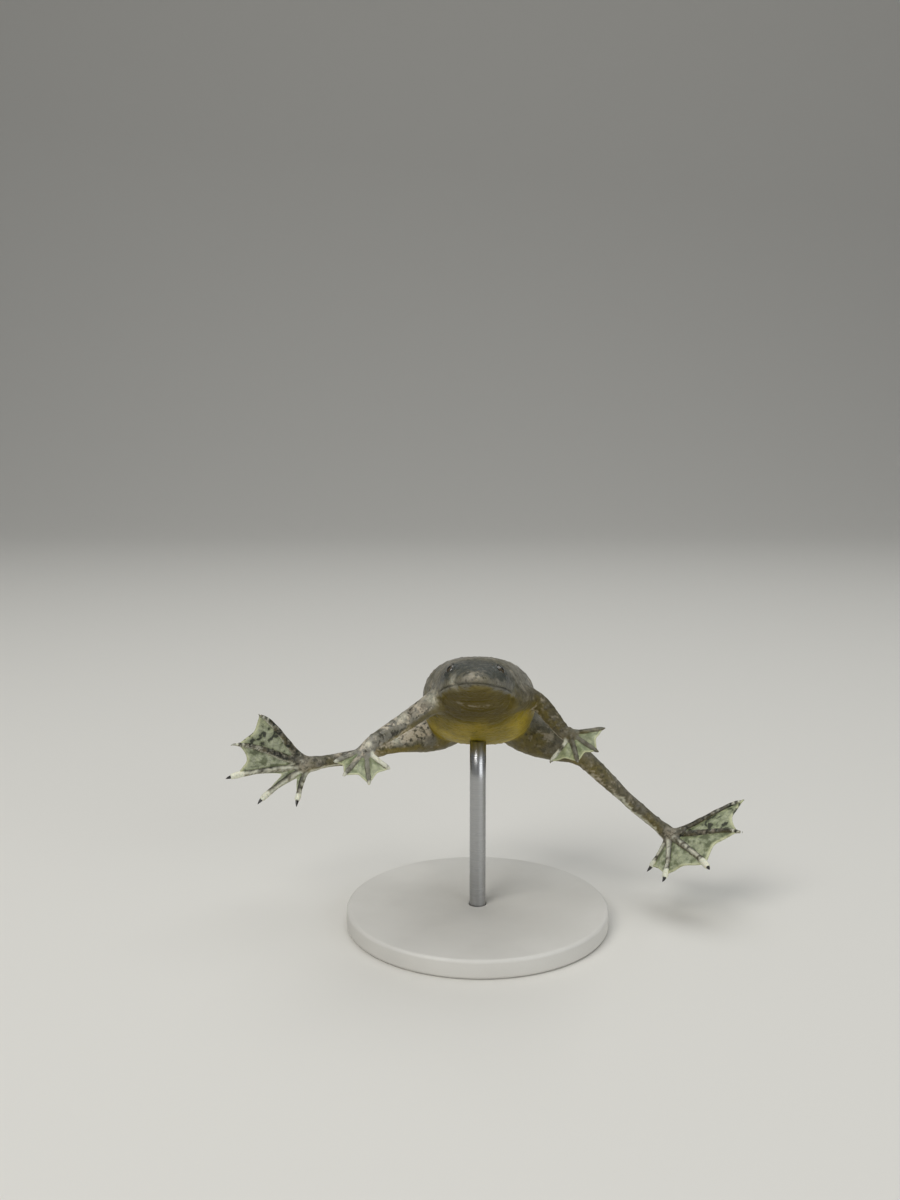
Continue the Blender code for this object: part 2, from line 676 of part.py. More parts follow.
def build_limbs():
    """Both arms and both legs in the pose of the photograph."""
    for side in ("left", "right"):
        pose = POSE[side]
        fingers = [heading(*angles) for angles in pose["fingers"]]
        toes = [heading(*angles) for angles in pose["toes"]]
        across, normal = fan_frame(fingers, side)
        path, start = limb(
            side,
            "arm",
            body_point(mirrored(SHOULDER, side)),
            [heading(*angles) for angles in pose["arm"]] + [across],
            (UPPER_ARM, FOREARM, PALM),
            (ELBOW_ROUNDING, WRIST_ROUNDING),
            ARM_RADII,
            ("upper_arm", "forearm"),
            normal,
        )
        reaches = [HAND_WEB_REACH] * len(FINGERS)
        notches = [HAND_WEB_NOTCH] * (len(FINGERS) - 1)
        build_extremity(side, "hand", path, start, fingers, FINGERS, reaches, notches)
        across, normal = fan_frame(toes, side)
        path, start = limb(
            side,
            "leg",
            body_point(mirrored(pose["hip"], side)),
            [heading(*angles) for angles in pose["leg"]] + [across],
            (THIGH, SHANK, TARSUS, INSTEP),
            (KNEE_ROUNDING, ANKLE_ROUNDING, INSTEP_ROUNDING),
            LEG_RADII,
            ("thigh", "shank", "tarsus"),
            normal,
        )
        build_extremity(side, "foot", path, start, toes, TOES, TOE_WEB_REACH, pose["web_notch"])


def build_stand():
    """A round chamfered foot with one rod, which stops just short of the belly."""
    turn = np.linspace(0, 2 * math.pi, 48, endpoint=False)
    circle = np.stack([np.cos(turn), np.sin(turn), 0 * turn], axis=1)
    edge = BASE_RADIUS - BASE_CHAMFER
    floor = BASE_THICKNESS - ROD_SINK - GAP
    hole = ROD_RADIUS + GAP
    levels = ((edge, 0.0), (BASE_RADIUS, BASE_CHAMFER), (BASE_RADIUS, BASE_THICKNESS - BASE_CHAMFER))
    levels += ((edge, BASE_THICKNESS), (hole, BASE_THICKNESS), (hole, floor))
    rings = np.array([circle * radius + (0, 0, level) for radius, level in levels])
    loft("stand_base", rings, "stand_base")
    line = np.array([(0, 0, BASE_THICKNESS - ROD_SINK), (0, 0, BELLY_HEIGHT + 2.0)])
    slim = np.full(2, ROD_RADIUS)
    rod = loft("stand_rod", tube_rings(line, slim, slim, (1.0, 0, 0), 20), "stand_rod")
    join(rod, [grown_body()], "DIFFERENCE")


def main():
    """Builds the frog and its stand."""
    clear_scene()
    build_head()
    build_torso()
    build_limbs()
    build_stand()


main()
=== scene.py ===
"""Dressed model of an African dwarf frog, life size, on a plain display stand.

All flesh is one skin. Rough lofts of the trunk, limbs and digits are remeshed together, and the mesh is
then settled on one blended form, with lids, nostrils, mouth, folds and granules. Webs, claws, eyes and
the stand are pieces of their own. Lengths are millimetres until a mesh is made, which is in metres.
World axes: the frog faces -Y, its left side is +X, and the stand's underside lies on Z = 0.
Body axes: x towards the frog's left, y from the snout back to the vent, z towards the back.
"""

import logging
import math
from collections.abc import Callable
from dataclasses import dataclass, field
from enum import Enum

import bmesh
import bpy
import numpy as np
from mathutils import Euler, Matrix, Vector

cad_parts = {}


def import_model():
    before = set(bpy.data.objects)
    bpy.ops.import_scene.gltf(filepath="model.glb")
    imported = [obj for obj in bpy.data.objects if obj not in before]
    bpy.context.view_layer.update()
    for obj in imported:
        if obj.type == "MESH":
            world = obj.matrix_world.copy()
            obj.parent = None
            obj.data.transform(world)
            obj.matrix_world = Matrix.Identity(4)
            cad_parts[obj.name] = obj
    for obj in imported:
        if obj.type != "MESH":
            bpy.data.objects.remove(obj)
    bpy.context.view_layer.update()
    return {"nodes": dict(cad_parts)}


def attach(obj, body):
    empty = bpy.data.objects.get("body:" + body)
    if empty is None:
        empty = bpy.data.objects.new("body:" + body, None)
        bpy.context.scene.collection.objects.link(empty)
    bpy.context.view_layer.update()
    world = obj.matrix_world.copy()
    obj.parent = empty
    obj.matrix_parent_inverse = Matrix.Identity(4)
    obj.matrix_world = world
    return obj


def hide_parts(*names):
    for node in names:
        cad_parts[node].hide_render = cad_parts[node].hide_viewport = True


MM = 0.001
FAR = 50.0
# Names of the skin's marks; two of them carry painted shade, in brown and in blue-grey
SKIN_MARKS = ("back", "umber_shade", "mottle", "slate_shade", "pale", "dusk", "ivory")
LOG = logging.getLogger("frog")


class Side(Enum):
    """The frog's own left or right."""

    LEFT = "left"
    RIGHT = "right"

    @property
    def sign(self) -> float:
        """+1 on the frog's left, which is +X, and -1 on its right."""
        return 1.0 if self is Side.LEFT else -1.0


class End(Enum):
    """What a limb ends in."""

    HAND = "hand"
    FOOT = "foot"


# Small helpers on arrays


def unit(vector: np.ndarray) -> np.ndarray:
    """The vector, or each row of an array, scaled to length 1."""
    vector = np.asarray(vector, float)
    return vector / np.maximum(np.linalg.norm(vector, axis=-1, keepdims=True), 1e-12)


def heading(azimuth: float, elevation: float) -> np.ndarray:
    """Unit vector for degrees round from +X towards +Y and degrees above the horizontal."""
    a, e = math.radians(azimuth), math.radians(elevation)
    return np.array([math.cos(a) * math.cos(e), math.sin(a) * math.cos(e), math.sin(e)])


def smooth_step(value: np.ndarray, low: float, high: float) -> np.ndarray:
    """0 at low, 1 at high, with the cubic 3t^2 - 2t^3 in between."""
    t = np.clip((value - low) / (high - low), 0.0, 1.0)
    return t * t * (3 - 2 * t)


def bell(value: np.ndarray, width: float) -> np.ndarray:
    """The bell curve exp(-(value / width)^2)."""
    return np.exp(-((value / width) ** 2))


def melt(first: np.ndarray, second: np.ndarray, reach: float) -> np.ndarray:
    """Union of two distances with a fillet: their minimum, less a parabola where they differ by little."""
    near = np.clip(reach - np.abs(first - second), 0.0, None) / reach
    return np.minimum(first, second) - near * near * reach / 4


def hashed(cell: np.ndarray, seed: int) -> np.ndarray:
    """Three even random numbers from 0 to 1 for each whole-number cell, always the same for the same seed."""
    mixed = cell[..., 0] * 73856093 ^ cell[..., 1] * 19349663 ^ cell[..., 2] * 83492791 ^ seed * 2654435761
    parts = []
    for step in (1, 2, 3):
        value = (mixed + step * 974711) & 0xFFFFFFFF
        value = ((value ^ (value >> 15)) * 2246822519) & 0xFFFFFFFF
        value = ((value ^ (value >> 13)) * 3266489917) & 0xFFFFFFFF
        parts.append(((value ^ (value >> 16)) & 0xFFFFFF) / 0xFFFFFF)
    return np.stack(parts, axis=-1)


def pebbles(points: np.ndarray, spacing: float, seed: int) -> tuple[np.ndarray, np.ndarray]:
    """Distance from each point to the nearest of one jittered seed point per cube of space.

    Args:
        points: positions in millimetres.
        spacing: side of the cubes in millimetres.
        seed: picks the pattern.

    Returns:
        The distance in millimetres, and a random number from 0 to 1 that belongs to the nearest seed point.
    """
    scaled = points / spacing
    base = np.floor(scaled).astype(np.int64)
    best = np.full(len(points), FAR)
    value = np.zeros(len(points))
    for shift in np.ndindex(3, 3, 3):
        cell = base + np.array(shift) - 1
        random = hashed(cell, seed)
        distance = np.linalg.norm(cell + 0.15 + 0.7 * random - scaled, axis=1)
        nearer = distance < best
        best = np.where(nearer, distance, best)
        value = np.where(nearer, random[:, 0], value)
    return best * spacing, value


def clouds(points: np.ndarray, spacing: float, seed: int) -> np.ndarray:
    """Smooth noise from 0 to 1: random values at cube corners, blended by the cubic step in each axis."""
    scaled = points / spacing
    base = np.floor(scaled).astype(np.int64)
    t = scaled - base
    t = t * t * (3 - 2 * t)
    total = np.zeros(len(points))
    for shift in np.ndindex(2, 2, 2):
        corner = np.array(shift)
        weight = np.prod(np.where(corner == 1, t, 1 - t), axis=1)
        total += weight * hashed(base + corner, seed)[:, 0]
    return total


# Meshes


def grid_faces(rows: int, columns: int, closed: bool) -> np.ndarray:
    """Corner numbers of the four-sided faces of a grid of points, its columns joined up if closed."""
    row = np.arange(rows - 1)[:, None]
    column = np.arange(columns if closed else columns - 1)[None, :]
    following = (column + 1) % columns
    corners = [row * columns + column, row * columns + following]
    corners += [(row + 1) * columns + following, (row + 1) * columns + column]
    return np.stack([c.reshape(-1) for c in np.broadcast_arrays(*corners)], axis=1)


def closed_rings(rings: np.ndarray) -> tuple[np.ndarray, list[tuple[int, ...]]]:
    """Points and faces of rings joined into a tube, each end closed by a pole at its ring's middle."""
    count, sides = rings.shape[:2]
    points = np.vstack([rings.reshape(-1, 3), rings[0].mean(0), rings[-1].mean(0)])
    faces = [tuple(face) for face in grid_faces(count, sides, True).tolist()]
    first, last, start = count * sides, count * sides + 1, (count - 1) * sides
    for j in range(sides):
        k = (j + 1) % sides
        faces.append((k, j, first))
        faces.append((start + j, start + k, last))
    return points, faces


def add_mesh(
    name: str, points: np.ndarray, faces: list, material: bpy.types.Material | None
) -> bpy.types.Object:
    """A smooth-shaded object at the origin, from points in millimetres, with its faces turned outwards."""
    mesh = bpy.data.meshes.new(name)
    mesh.from_pydata((np.asarray(points, float) * MM).tolist(), [], faces)
    made = bmesh.new()
    made.from_mesh(mesh)
    bmesh.ops.recalc_face_normals(made, faces=made.faces)
    made.to_mesh(mesh)
    made.free()
    mesh.shade_smooth()
    if material is not None:
        mesh.materials.append(material)
    obj = bpy.data.objects.new(name, mesh)
    bpy.context.scene.collection.objects.link(obj)
    return obj


def mesh_points(mesh: bpy.types.Mesh) -> np.ndarray:
    """The positions of a mesh's vertices, as they are stored."""
    flat = np.empty(len(mesh.vertices) * 3)
    mesh.vertices.foreach_get("co", flat)
    return flat.reshape(-1, 3)


def mark(mesh: bpy.types.Mesh, name: str, values: np.ndarray) -> None:
    """Stores one number for each vertex, for a material to read by name."""
    mesh.attributes.new(name, "FLOAT", "POINT").data.foreach_set("value", np.asarray(values, np.float32))


# The frog's form


@dataclass(frozen=True)
class BodyPlace:
    """Where the body hangs: pitch and yaw in degrees, and its belly's lowest line over the stand's rod."""

    pitch: float = 21.0
    yaw: float = 3.2
    belly_height: float = 26.0
    belly_station: float = 19.0
    belly_depth: float = 5.3

    @property
    def turn(self) -> np.ndarray:
        """The turn from body axes to world axes."""
        return np.array(Euler((math.radians(-self.pitch), 0, math.radians(-self.yaw))).to_matrix())

    @property
    def origin(self) -> np.ndarray:
        """The snout tip's place in the world."""
        belly = self.turn @ np.array([0.0, self.belly_station, -self.belly_depth])
        return np.array([0.0, 0.0, self.belly_height]) - belly

    def to_world(self, points: np.ndarray) -> np.ndarray:
        """World positions of points in body axes."""
        return np.asarray(points, float) @ self.turn.T + self.origin

    def to_body(self, points: np.ndarray) -> np.ndarray:
        """Body positions of points in world axes."""
        return (points - self.origin) @ self.turn


@dataclass
class Trunk:
    """Head and trunk: a superellipse whose half width, height and depth follow stations behind the snout."""

    stations: tuple = (
        (0.0, 0.0, 0.0, 0.0),
        (0.6, 1.45, 0.75, 0.60),
        (2.2, 2.60, 1.65, 1.20),
        (4.9, 3.95, 2.70, 2.00),
        (8.0, 4.85, 3.70, 3.05),
        (11.5, 5.75, 4.55, 4.10),
        (15.5, 6.95, 5.25, 5.10),
        (20.0, 7.65, 5.40, 5.75),
        (24.5, 7.20, 5.00, 5.60),
        (28.5, 5.80, 3.90, 4.45),
        (32.0, 3.80, 2.70, 3.00),
        (34.5, 1.90, 1.50, 1.60),
        (35.5, 0.0, 0.0, 0.0),
    )
    length: float = 35.5
    head_squareness: float = 2.15
    back_squareness: float = 2.5
    table: np.ndarray = field(init=False)
    square: np.ndarray = field(init=False)

    def __post_init__(self) -> None:
        """Reads the stations' Catmull-Rom curve into a fine table, and the square of its half width."""
        knots = np.array(self.stations)
        flip = np.array([1.0, -1.0, -1.0, -1.0])
        before = knots[1] * flip
        after = knots[-2] * flip
        after[0] = 2 * knots[-1, 0] - knots[-2, 0]
        knots = np.vstack([before, knots, after])
        at = np.linspace(0, len(self.stations) - 1, 3600)
        index = np.clip(np.floor(at).astype(int), 0, len(self.stations) - 2)
        t = (at - index)[:, None]
        a, b, c, d = (knots[index + k] for k in range(4))
        square, cube = 2 * a - 5 * b + 4 * c - d, 3 * b - a - 3 * c + d
        self.table = 0.5 * (2 * b + (c - a) * t + square * t**2 + cube * t**3)
        along, half = self.table[:, 0], self.table[:, 1]
        slope = half[40] ** 2 / along[40], half[-40] ** 2 / (self.length - along[-40])
        ends = np.array([[-4.0, -4.0 * slope[0]]]), np.array([[self.length + 4.0, -4.0 * slope[1]]])
        self.square = np.vstack([ends[0], np.stack([along, half**2], axis=1), ends[1]])

    def level(self, points: np.ndarray) -> np.ndarray:
        """Square of a point's superellipse radius, in width units, less that of the half width there."""
        x, y, z = np.abs(points[:, 0]), points[:, 1], points[:, 2]
        inside = np.clip(y, 0.08, self.length - 0.08)
        along = self.table[:, 0]
        width, top, bottom = (np.interp(inside, along, self.table[:, k]) for k in (1, 2, 3))
        height = np.where(z > 0, top, bottom)
        share = np.clip((y - 6.0) / 8.0, 0, 1)
        power = self.head_squareness + (self.back_squareness - self.head_squareness) * share
        radius = (x**power + (np.abs(z) * width / height) ** power) ** (1 / power)
        return radius**2 - np.interp(y, self.square[:, 0], self.square[:, 1])

    def distance(self, points: np.ndarray) -> np.ndarray:
        """Distance from the surface to first order: the level over the length of its slope."""
        here = self.level(points)
        step = 0.03
        rises = [self.level(points + step * axis) - self.level(points - step * axis) for axis in np.eye(3)]
        slope = [rise / (2 * step) for rise in rises]
        return here / np.maximum(np.linalg.norm(slope, axis=0), 0.35)

    def rings(self, count: int, sides: int) -> np.ndarray:
        """Rings of the trunk for the rough mesh, in body axes, from by the snout to by the vent."""
        at = np.linspace(0, 1, count + 2)[1:-1]
        line = np.arange(len(self.table))
        rows = np.stack([np.interp(at * line[-1], line, self.table[:, k]) for k in range(4)], axis=1)
        turn = np.linspace(0, 2 * math.pi, sides, endpoint=False)[None, :]
        along, width, top, bottom = (rows[:, k][:, None] for k in range(4))
        x = width * np.cos(turn)
        z = np.where(np.sin(turn) > 0, top, bottom) * np.sin(turn)
        return np.stack([x, along + 0 * x, z], axis=2)


@dataclass
class Tube:
    """An ellipse carried along a path, its height lying along a normal as nearly as it can."""

    path: np.ndarray
    wide: np.ndarray
    flat: np.ndarray
    normal: np.ndarray

    def __post_init__(self) -> None:
        """Works out each path point's direction, its upward direction and its share of the whole length."""
        self.along = unit(np.gradient(self.path, axis=0))
        self.up = unit(self.normal - (self.along @ self.normal)[:, None] * self.along)
        self.across = np.cross(self.along, self.up)
        run = np.concatenate([[0.0], np.cumsum(np.linalg.norm(np.diff(self.path, axis=0), axis=1))])
        self.length = run[-1]
        self.share = run / run[-1]
        self.step = run[-1] / (len(run) - 1)

    def near(self, points: np.ndarray, reach: float) -> np.ndarray:
        """Numbers of the points that lie within reach of the tube's box."""
        margin = self.wide.max() + reach
        low, high = self.path.min(0) - margin, self.path.max(0) + margin
        return np.flatnonzero(np.all((points > low) & (points < high), axis=1))

    def place(self, points: np.ndarray) -> tuple[np.ndarray, np.ndarray, np.ndarray, np.ndarray]:
        """For each point: signed distance, share along the tube, and offsets in radii, across and up."""
        square = (self.path**2).sum(1)[None, :] - 2 * points @ self.path.T
        nearest = np.argmin(square, axis=1)
        offset = points - self.path[nearest]
        lead = np.einsum("ij,ij->i", offset, self.along[nearest])
        low = np.where(nearest == 0, 0, -self.step)
        lead = np.clip(lead, low, np.where(nearest == len(self.path) - 1, 0, self.step))
        offset = offset - lead[:, None] * self.along[nearest]
        share = self.share[nearest] + lead / self.length
        wide = np.interp(share, self.share, self.wide)
        flat = np.interp(share, self.share, self.flat)
        rise = np.einsum("ij,ij->i", offset, self.up[nearest])
        sideways = np.einsum("ij,ij->i", offset, self.across[nearest])
        rest = np.clip((offset**2).sum(1) - rise**2, 0, None)
        radius = np.sqrt(rest + (rise * wide / flat) ** 2)
        return radius - wide, share, sideways / wide, rise / flat

    def distance(self, points: np.ndarray, reach: float = 2.0) -> np.ndarray:
        """Signed distance of every point, or a far value for points out of reach."""
        result = np.full(len(points), FAR)
        close = self.near(points, reach)
        if len(close):
            result[close] = self.place(points[close])[0]
        return result

    def rings(self, sides: int, stride: int, capped: bool = False) -> np.ndarray:
        """Rings of the tube at every stride-th path point and at the end, then a round cap if wanted."""
        pick = np.unique(np.append(np.arange(0, len(self.path), stride), len(self.path) - 1))
        turn = np.linspace(0, 2 * math.pi, sides, endpoint=False)
        side = self.across[pick][:, None] * np.cos(turn)[None, :, None] * self.wide[pick][:, None, None]
        rise = self.up[pick][:, None] * np.sin(turn)[None, :, None] * self.flat[pick][:, None, None]
        rings = self.path[pick][:, None] + side + rise
        if capped:
            lean = np.radians((25, 50, 70, 84))[:, None, None]
            ahead = self.along[-1] * self.wide[-1] * np.sin(lean)
            cap = self.path[-1] + (rings[-1] - self.path[-1]) * np.cos(lean) + ahead
            rings = np.concatenate([rings, cap])
        return rings


def rounded_path(corners: list[np.ndarray], roundings: tuple, step: float) -> np.ndarray:
    """Even points along straight runs joined by circular arcs that start a rounding before each corner."""
    points = [corners[0][None]]
    for previous, corner, following, cut in zip(corners, corners[1:], corners[2:], roundings):
        back, ahead = unit(previous - corner), unit(following - corner)
        half = math.acos(float(back @ ahead)) / 2
        centre = corner + unit(back + ahead) * cut / math.cos(half)
        sweep = math.pi - 2 * half
        t = np.linspace(0, 1, 17)[:, None]
        start, end = corner + back * cut - centre, corner + ahead * cut - centre
        points.append(centre + (start * np.sin((1 - t) * sweep) + end * np.sin(t * sweep)) / math.sin(sweep))
    points = np.vstack([*points, corners[-1][None]])
    return even_path(points, step)


def even_path(points: np.ndarray, step: float) -> np.ndarray:
    """The same path with its points about a step apart, all equally far along it."""
    run = np.concatenate([[0], np.cumsum(np.linalg.norm(np.diff(points, axis=0), axis=1))])
    at = np.linspace(0, run[-1], max(4, int(round(run[-1] / step)) + 1))
    return np.stack([np.interp(at, run, points[:, k]) for k in range(3)], axis=1)


@dataclass(frozen=True)
class Digit:
    """One finger or toe: length to its tip, claw included, and its radii at root and tip."""

    length: float
    root: float
    tip: float
    bow: float = 0.0
    clawed: bool = False


@dataclass
class Limb:
    """An arm or leg in its pose, with its palm, digits and web."""

    side: Side
    end: End
    root: tuple
    segments: tuple
    lengths: tuple
    roundings: tuple
    radii: tuple
    digits: tuple
    headings: tuple
    reaches: tuple
    notches: tuple
    fullness: float = 1.0
    blush: float = 0.0
    # How much painted shade the limb carries: darker brown, calmer mottling, darker fingers, a dimmer web, no
    # white finger tips
    shade: float = 0.0
    white_finger: int = -1
    claw_length: float = 1.15
    lines: list = field(default_factory=list)
    toes: list = field(default_factory=list)

    def settle(self, place: BodyPlace) -> None:
        """Works out the limb's own tube, its palm and its digits, in world millimetres."""
        foot = self.end is End.FOOT
        directions = [heading(*angles) for angles in self.headings]
        self.middle = unit(np.mean(directions[1:4], axis=0))
        self.normal = unit(np.cross(directions[0], directions[-1])) * -self.side.sign
        root = np.array(self.root) * (self.side.sign, 1, 1)
        corners = [place.to_world(root[None])[0]]
        steps = [heading(*angles) for angles in self.segments] + [self.middle]
        for direction, length in zip(steps, self.lengths):
            corners.append(corners[-1] + direction * length)
        path = rounded_path(corners, self.roundings, 0.2)
        share = np.linspace(0, 1, len(path))
        at, size = np.array(self.radii).T
        wide = np.interp(share, at, size)
        if foot:
            wide = wide * (1 + (self.fullness - 1) * (1 - smooth_step(share, 0.30, 0.42)))
        self.arm = Tube(path, wide, wide * 0.94, self.normal)
        self.joints = corners[1:-1]
        self.add_palm(path)
        self.add_digits(path[-1] - self.middle * self.lengths[-1], directions)

    def add_palm(self, path: np.ndarray) -> None:
        """The flattened palm or instep over the last stretch of the limb's path."""
        foot = self.end is End.FOOT
        stretch = path[-int(round(self.lengths[-1] * 5)) :]
        t = np.linspace(0, 1, len(stretch))
        wide = (0.95, 1.15) if foot else (0.75, 0.95)
        flat = (0.80, 0.42) if foot else (0.66, 0.40)
        self.palm = Tube(stretch, np.interp(t, (0, 1), wide), np.interp(t, (0, 1), flat), self.normal)

    def add_digits(self, wrist: np.ndarray, directions: list[np.ndarray]) -> None:
        """Each digit's centre line is a cubic curve out of the palm, bowed to its tip. Knuckles swell it."""
        foot = self.end is End.FOOT
        across = unit(np.cross(self.normal, self.middle))
        across *= np.sign(across @ (directions[-1] - directions[0]))
        for number, (digit, direction) in enumerate(zip(self.digits, directions)):
            place = number - (len(self.digits) - 1) / 2
            root = wrist + self.middle * (1.5 if foot else 1.2) + across * place * (0.36 if foot else 0.34)
            tip = wrist + direction * digit.length
            bow = across * digit.bow
            reach = np.linalg.norm(tip - root)
            straight = (tip - root) / reach
            near = root + (self.middle * 0.35 + straight * 0.65) * reach * 0.3
            far = tip - straight * reach * 0.35 + (bow - straight * (bow @ straight)) * 2.2
            t = np.linspace(0, 1, 60)[:, None]
            u = 1 - t
            line = even_path(u**3 * root + 3 * u * u * t * near + 3 * u * t * t * far + t**3 * tip, 0.15)
            self.lines.append(line)
            total = np.linalg.norm(np.diff(line, axis=0), axis=1).sum()
            bare = self.claw_length if digit.clawed else digit.tip * 0.8
            flesh = line[: max(8, int(len(line) * (1 - bare / total)))]
            share = np.linspace(0, 1, len(flesh))
            radius = digit.root + (digit.tip - digit.root) * share
            for knuckle in (0.36, 0.60, 0.80) if foot else (0.45, 0.74):
                radius = radius * (1 + 0.10 * bell(share - knuckle, 0.045))
            if digit.clawed:
                radius = radius * (1 + 0.16 * bell(share - 0.93, 0.07) - 0.12 * bell(share - 0.62, 0.2))
            else:
                radius = radius * (1 - 0.5 * smooth_step(share, 0.86, 1.0))
            self.toes.append(Tube(flesh, radius, radius * 0.95, self.normal))

    def creases(self, place: BodyPlace) -> list:
        """Three creases round the inner side of each bend, each an arc over a third of a turn."""
        folds = []
        for joint in self.joints:
            nearest = int(np.argmin(np.linalg.norm(self.arm.path - joint, axis=1)))
            inner = unit(self.arm.path[nearest] - joint)
            inner = unit(inner - (inner @ self.arm.along[nearest]) * self.arm.along[nearest])
            beside = np.cross(self.arm.along[nearest], inner)
            for shift, depth in ((-5, 0.07), (0, 0.11), (5, 0.07)):
                at = min(max(nearest + shift, 0), len(self.arm.path) - 1)
                turn = np.radians(np.linspace(-65, 65, 7))[:, None]
                arc = inner * np.cos(turn) + beside * np.sin(turn)
                line = self.arm.path[at] + arc * self.arm.wide[at]
                folds.append(Fold(tuple(map(tuple, place.to_body(line))), depth, 0.22))
        return folds

    def distance(self, points: np.ndarray) -> np.ndarray:
        """Distance from the whole limb: tube, palm and digits melted together."""
        result = self.arm.distance(points)
        paw = self.palm.distance(points)
        for toe in self.toes:
            paw = melt(paw, toe.distance(points, 0.8), 0.22)
        return melt(result, paw, 0.45)


@dataclass(frozen=True)
class EyePlace:
    """The eyeball and the skin round it, for the frog's left side, in body axes."""

    radius: float = 0.95
    centre: tuple = (2.75, 4.7, 1.48)
    look: tuple = (0.68, -0.36, 0.64)
    bulge_radius: float = 1.36
    bulge_sink: float = 0.42
    aperture: tuple = (0.80, 0.68)
    lid_thickness: tuple = (0.13, 0.08)

    def axes(self, side: Side) -> np.ndarray:
        """Rows: towards the snout, upwards and outwards along the look, as the eye on that side sees them."""
        look = unit(np.array(self.look) * (side.sign, 1, 1))
        ahead = unit(np.array([0.0, -1.0, 0.0]) - look * -look[1])
        upward = np.cross(look, ahead)
        upward *= np.sign(upward[2])
        return np.array([ahead, upward, look])

    def middle(self, side: Side) -> np.ndarray:
        """The eyeball's centre on that side."""
        return np.array(self.centre) * (side.sign, 1, 1)

    def shape(self, points: np.ndarray, solid: np.ndarray, side: Side) -> np.ndarray:
        """Adds the bulge, a groove behind the lids, and a shallow bowl under the eyeball's front."""
        offset = points - self.middle(side)
        close = np.flatnonzero((offset**2).sum(1) < 9.0)
        if not len(close):
            return solid
        ahead, upward, out = (offset[close] @ self.axes(side).T).T
        here = solid[close]
        bulge = np.sqrt(ahead**2 + upward**2 + (out + self.bulge_sink) ** 2) - self.bulge_radius
        here = melt(here, bulge, 0.8)
        angle = np.hypot(ahead, upward)
        here = here + 0.06 * bell(angle - 1.28, 0.14) * (out > -0.3)
        bowl = 0.34 * smooth_step(angle, 0.98, 0.62) * (out > 0)
        solid[close] = here + bowl
        return solid

    def lids(self, side: Side, count: int = 96, around: int = 20) -> tuple[np.ndarray, np.ndarray]:
        """Upper and lower lid as one rim swept round the opening, in body axes.

        The rim's section is a teardrop: it touches the eyeball, rounds over the edge, and runs out and down
        into the bulge. The opening is an ellipse, pointed a little at both ends. Returns points and faces.
        """
        ahead, upward, look = self.axes(side)
        turn = np.linspace(0, 2 * math.pi, count, endpoint=False)
        long, short = self.aperture
        radius = long * short / np.sqrt((short * np.cos(turn)) ** 2 + (long * np.sin(turn)) ** 2)
        upper = smooth_step(np.sin(turn), -0.35, 0.45)
        thick = self.lid_thickness[1] + (self.lid_thickness[0] - self.lid_thickness[1]) * upper
        radius = radius + 0.02 * np.sin(5 * turn + 1) * (1 - upper)
        roll = np.linspace(0, 2 * math.pi, around, endpoint=False)[None, :]
        stretch = 1 + 1.7 * smooth_step(np.cos(roll), -0.2, 1.0)
        out = radius[:, None] + thick[:, None] * (0.9 + np.cos(roll) * stretch)
        base = np.sqrt(np.clip(self.radius**2 - radius**2, 0.01, None))
        drop = 1.15 * np.clip(out - radius[:, None] - thick[:, None], 0, None)
        rise = base[:, None] + 0.01 + thick[:, None] * np.sin(roll) - drop
        wave = 0.018 * np.sin(11 * turn)[:, None] * (1 + np.cos(roll)) / 2
        ring = ahead * np.cos(turn)[:, None] + upward * np.sin(turn)[:, None]
        points = self.middle(side) + ring[:, None] * out[..., None] + look * (rise + wave)[..., None]
        faces = grid_faces(count + 1, around, True) % (count * around)
        return points.reshape(-1, 3), faces


@dataclass(frozen=True)
class Face:
    """Nostrils, mouth and the ridge from eye to nostril, in body axes for the left side."""

    nostril: tuple = (0.72, 0.95, 1.1)
    nostril_width: float = 0.17
    nostril_depth: float = 0.26
    mouth_end: float = 7.4
    mouth_drop: float = 0.45
    slit: float = 0.18
    lip: float = 0.05

    def mouth_height(self, y: np.ndarray) -> np.ndarray:
        """Height of the mouth's line at a distance behind the snout: level, a little lower at the corner."""
        return -self.mouth_drop - 0.12 * smooth_step(y, 4.5, self.mouth_end)

    def relief(self, points: np.ndarray) -> np.ndarray:
        """How far the head's surface is raised at each point: lips up, slit and nostrils down."""
        x, y, z = np.abs(points[:, 0]), points[:, 1], points[:, 2]
        gap = z - self.mouth_height(y)
        fade = 1 - smooth_step(y, self.mouth_end - 1.3, self.mouth_end + 0.2)
        raised = self.lip * (bell(gap - 0.34, 0.20) + 1.2 * bell(gap + 0.34, 0.20))
        raised = (raised - self.slit * bell(gap, 0.09) * smooth_step(y, -0.6, 1.4)) * fade
        corner = np.stack([x - 4.65, y - self.mouth_end - 0.1, gap], axis=1)
        raised -= 0.10 * bell(np.linalg.norm(corner * (0.6, 1, 1), axis=1), 0.45)
        nose = np.array(self.nostril)
        spot = np.linalg.norm((np.stack([x, y, z], axis=1) - nose) * (1.0, 0.85, 0.6), axis=1)
        raised += 0.035 * bell(spot - 0.32, 0.14) - self.nostril_depth * bell(spot, self.nostril_width)
        return raised


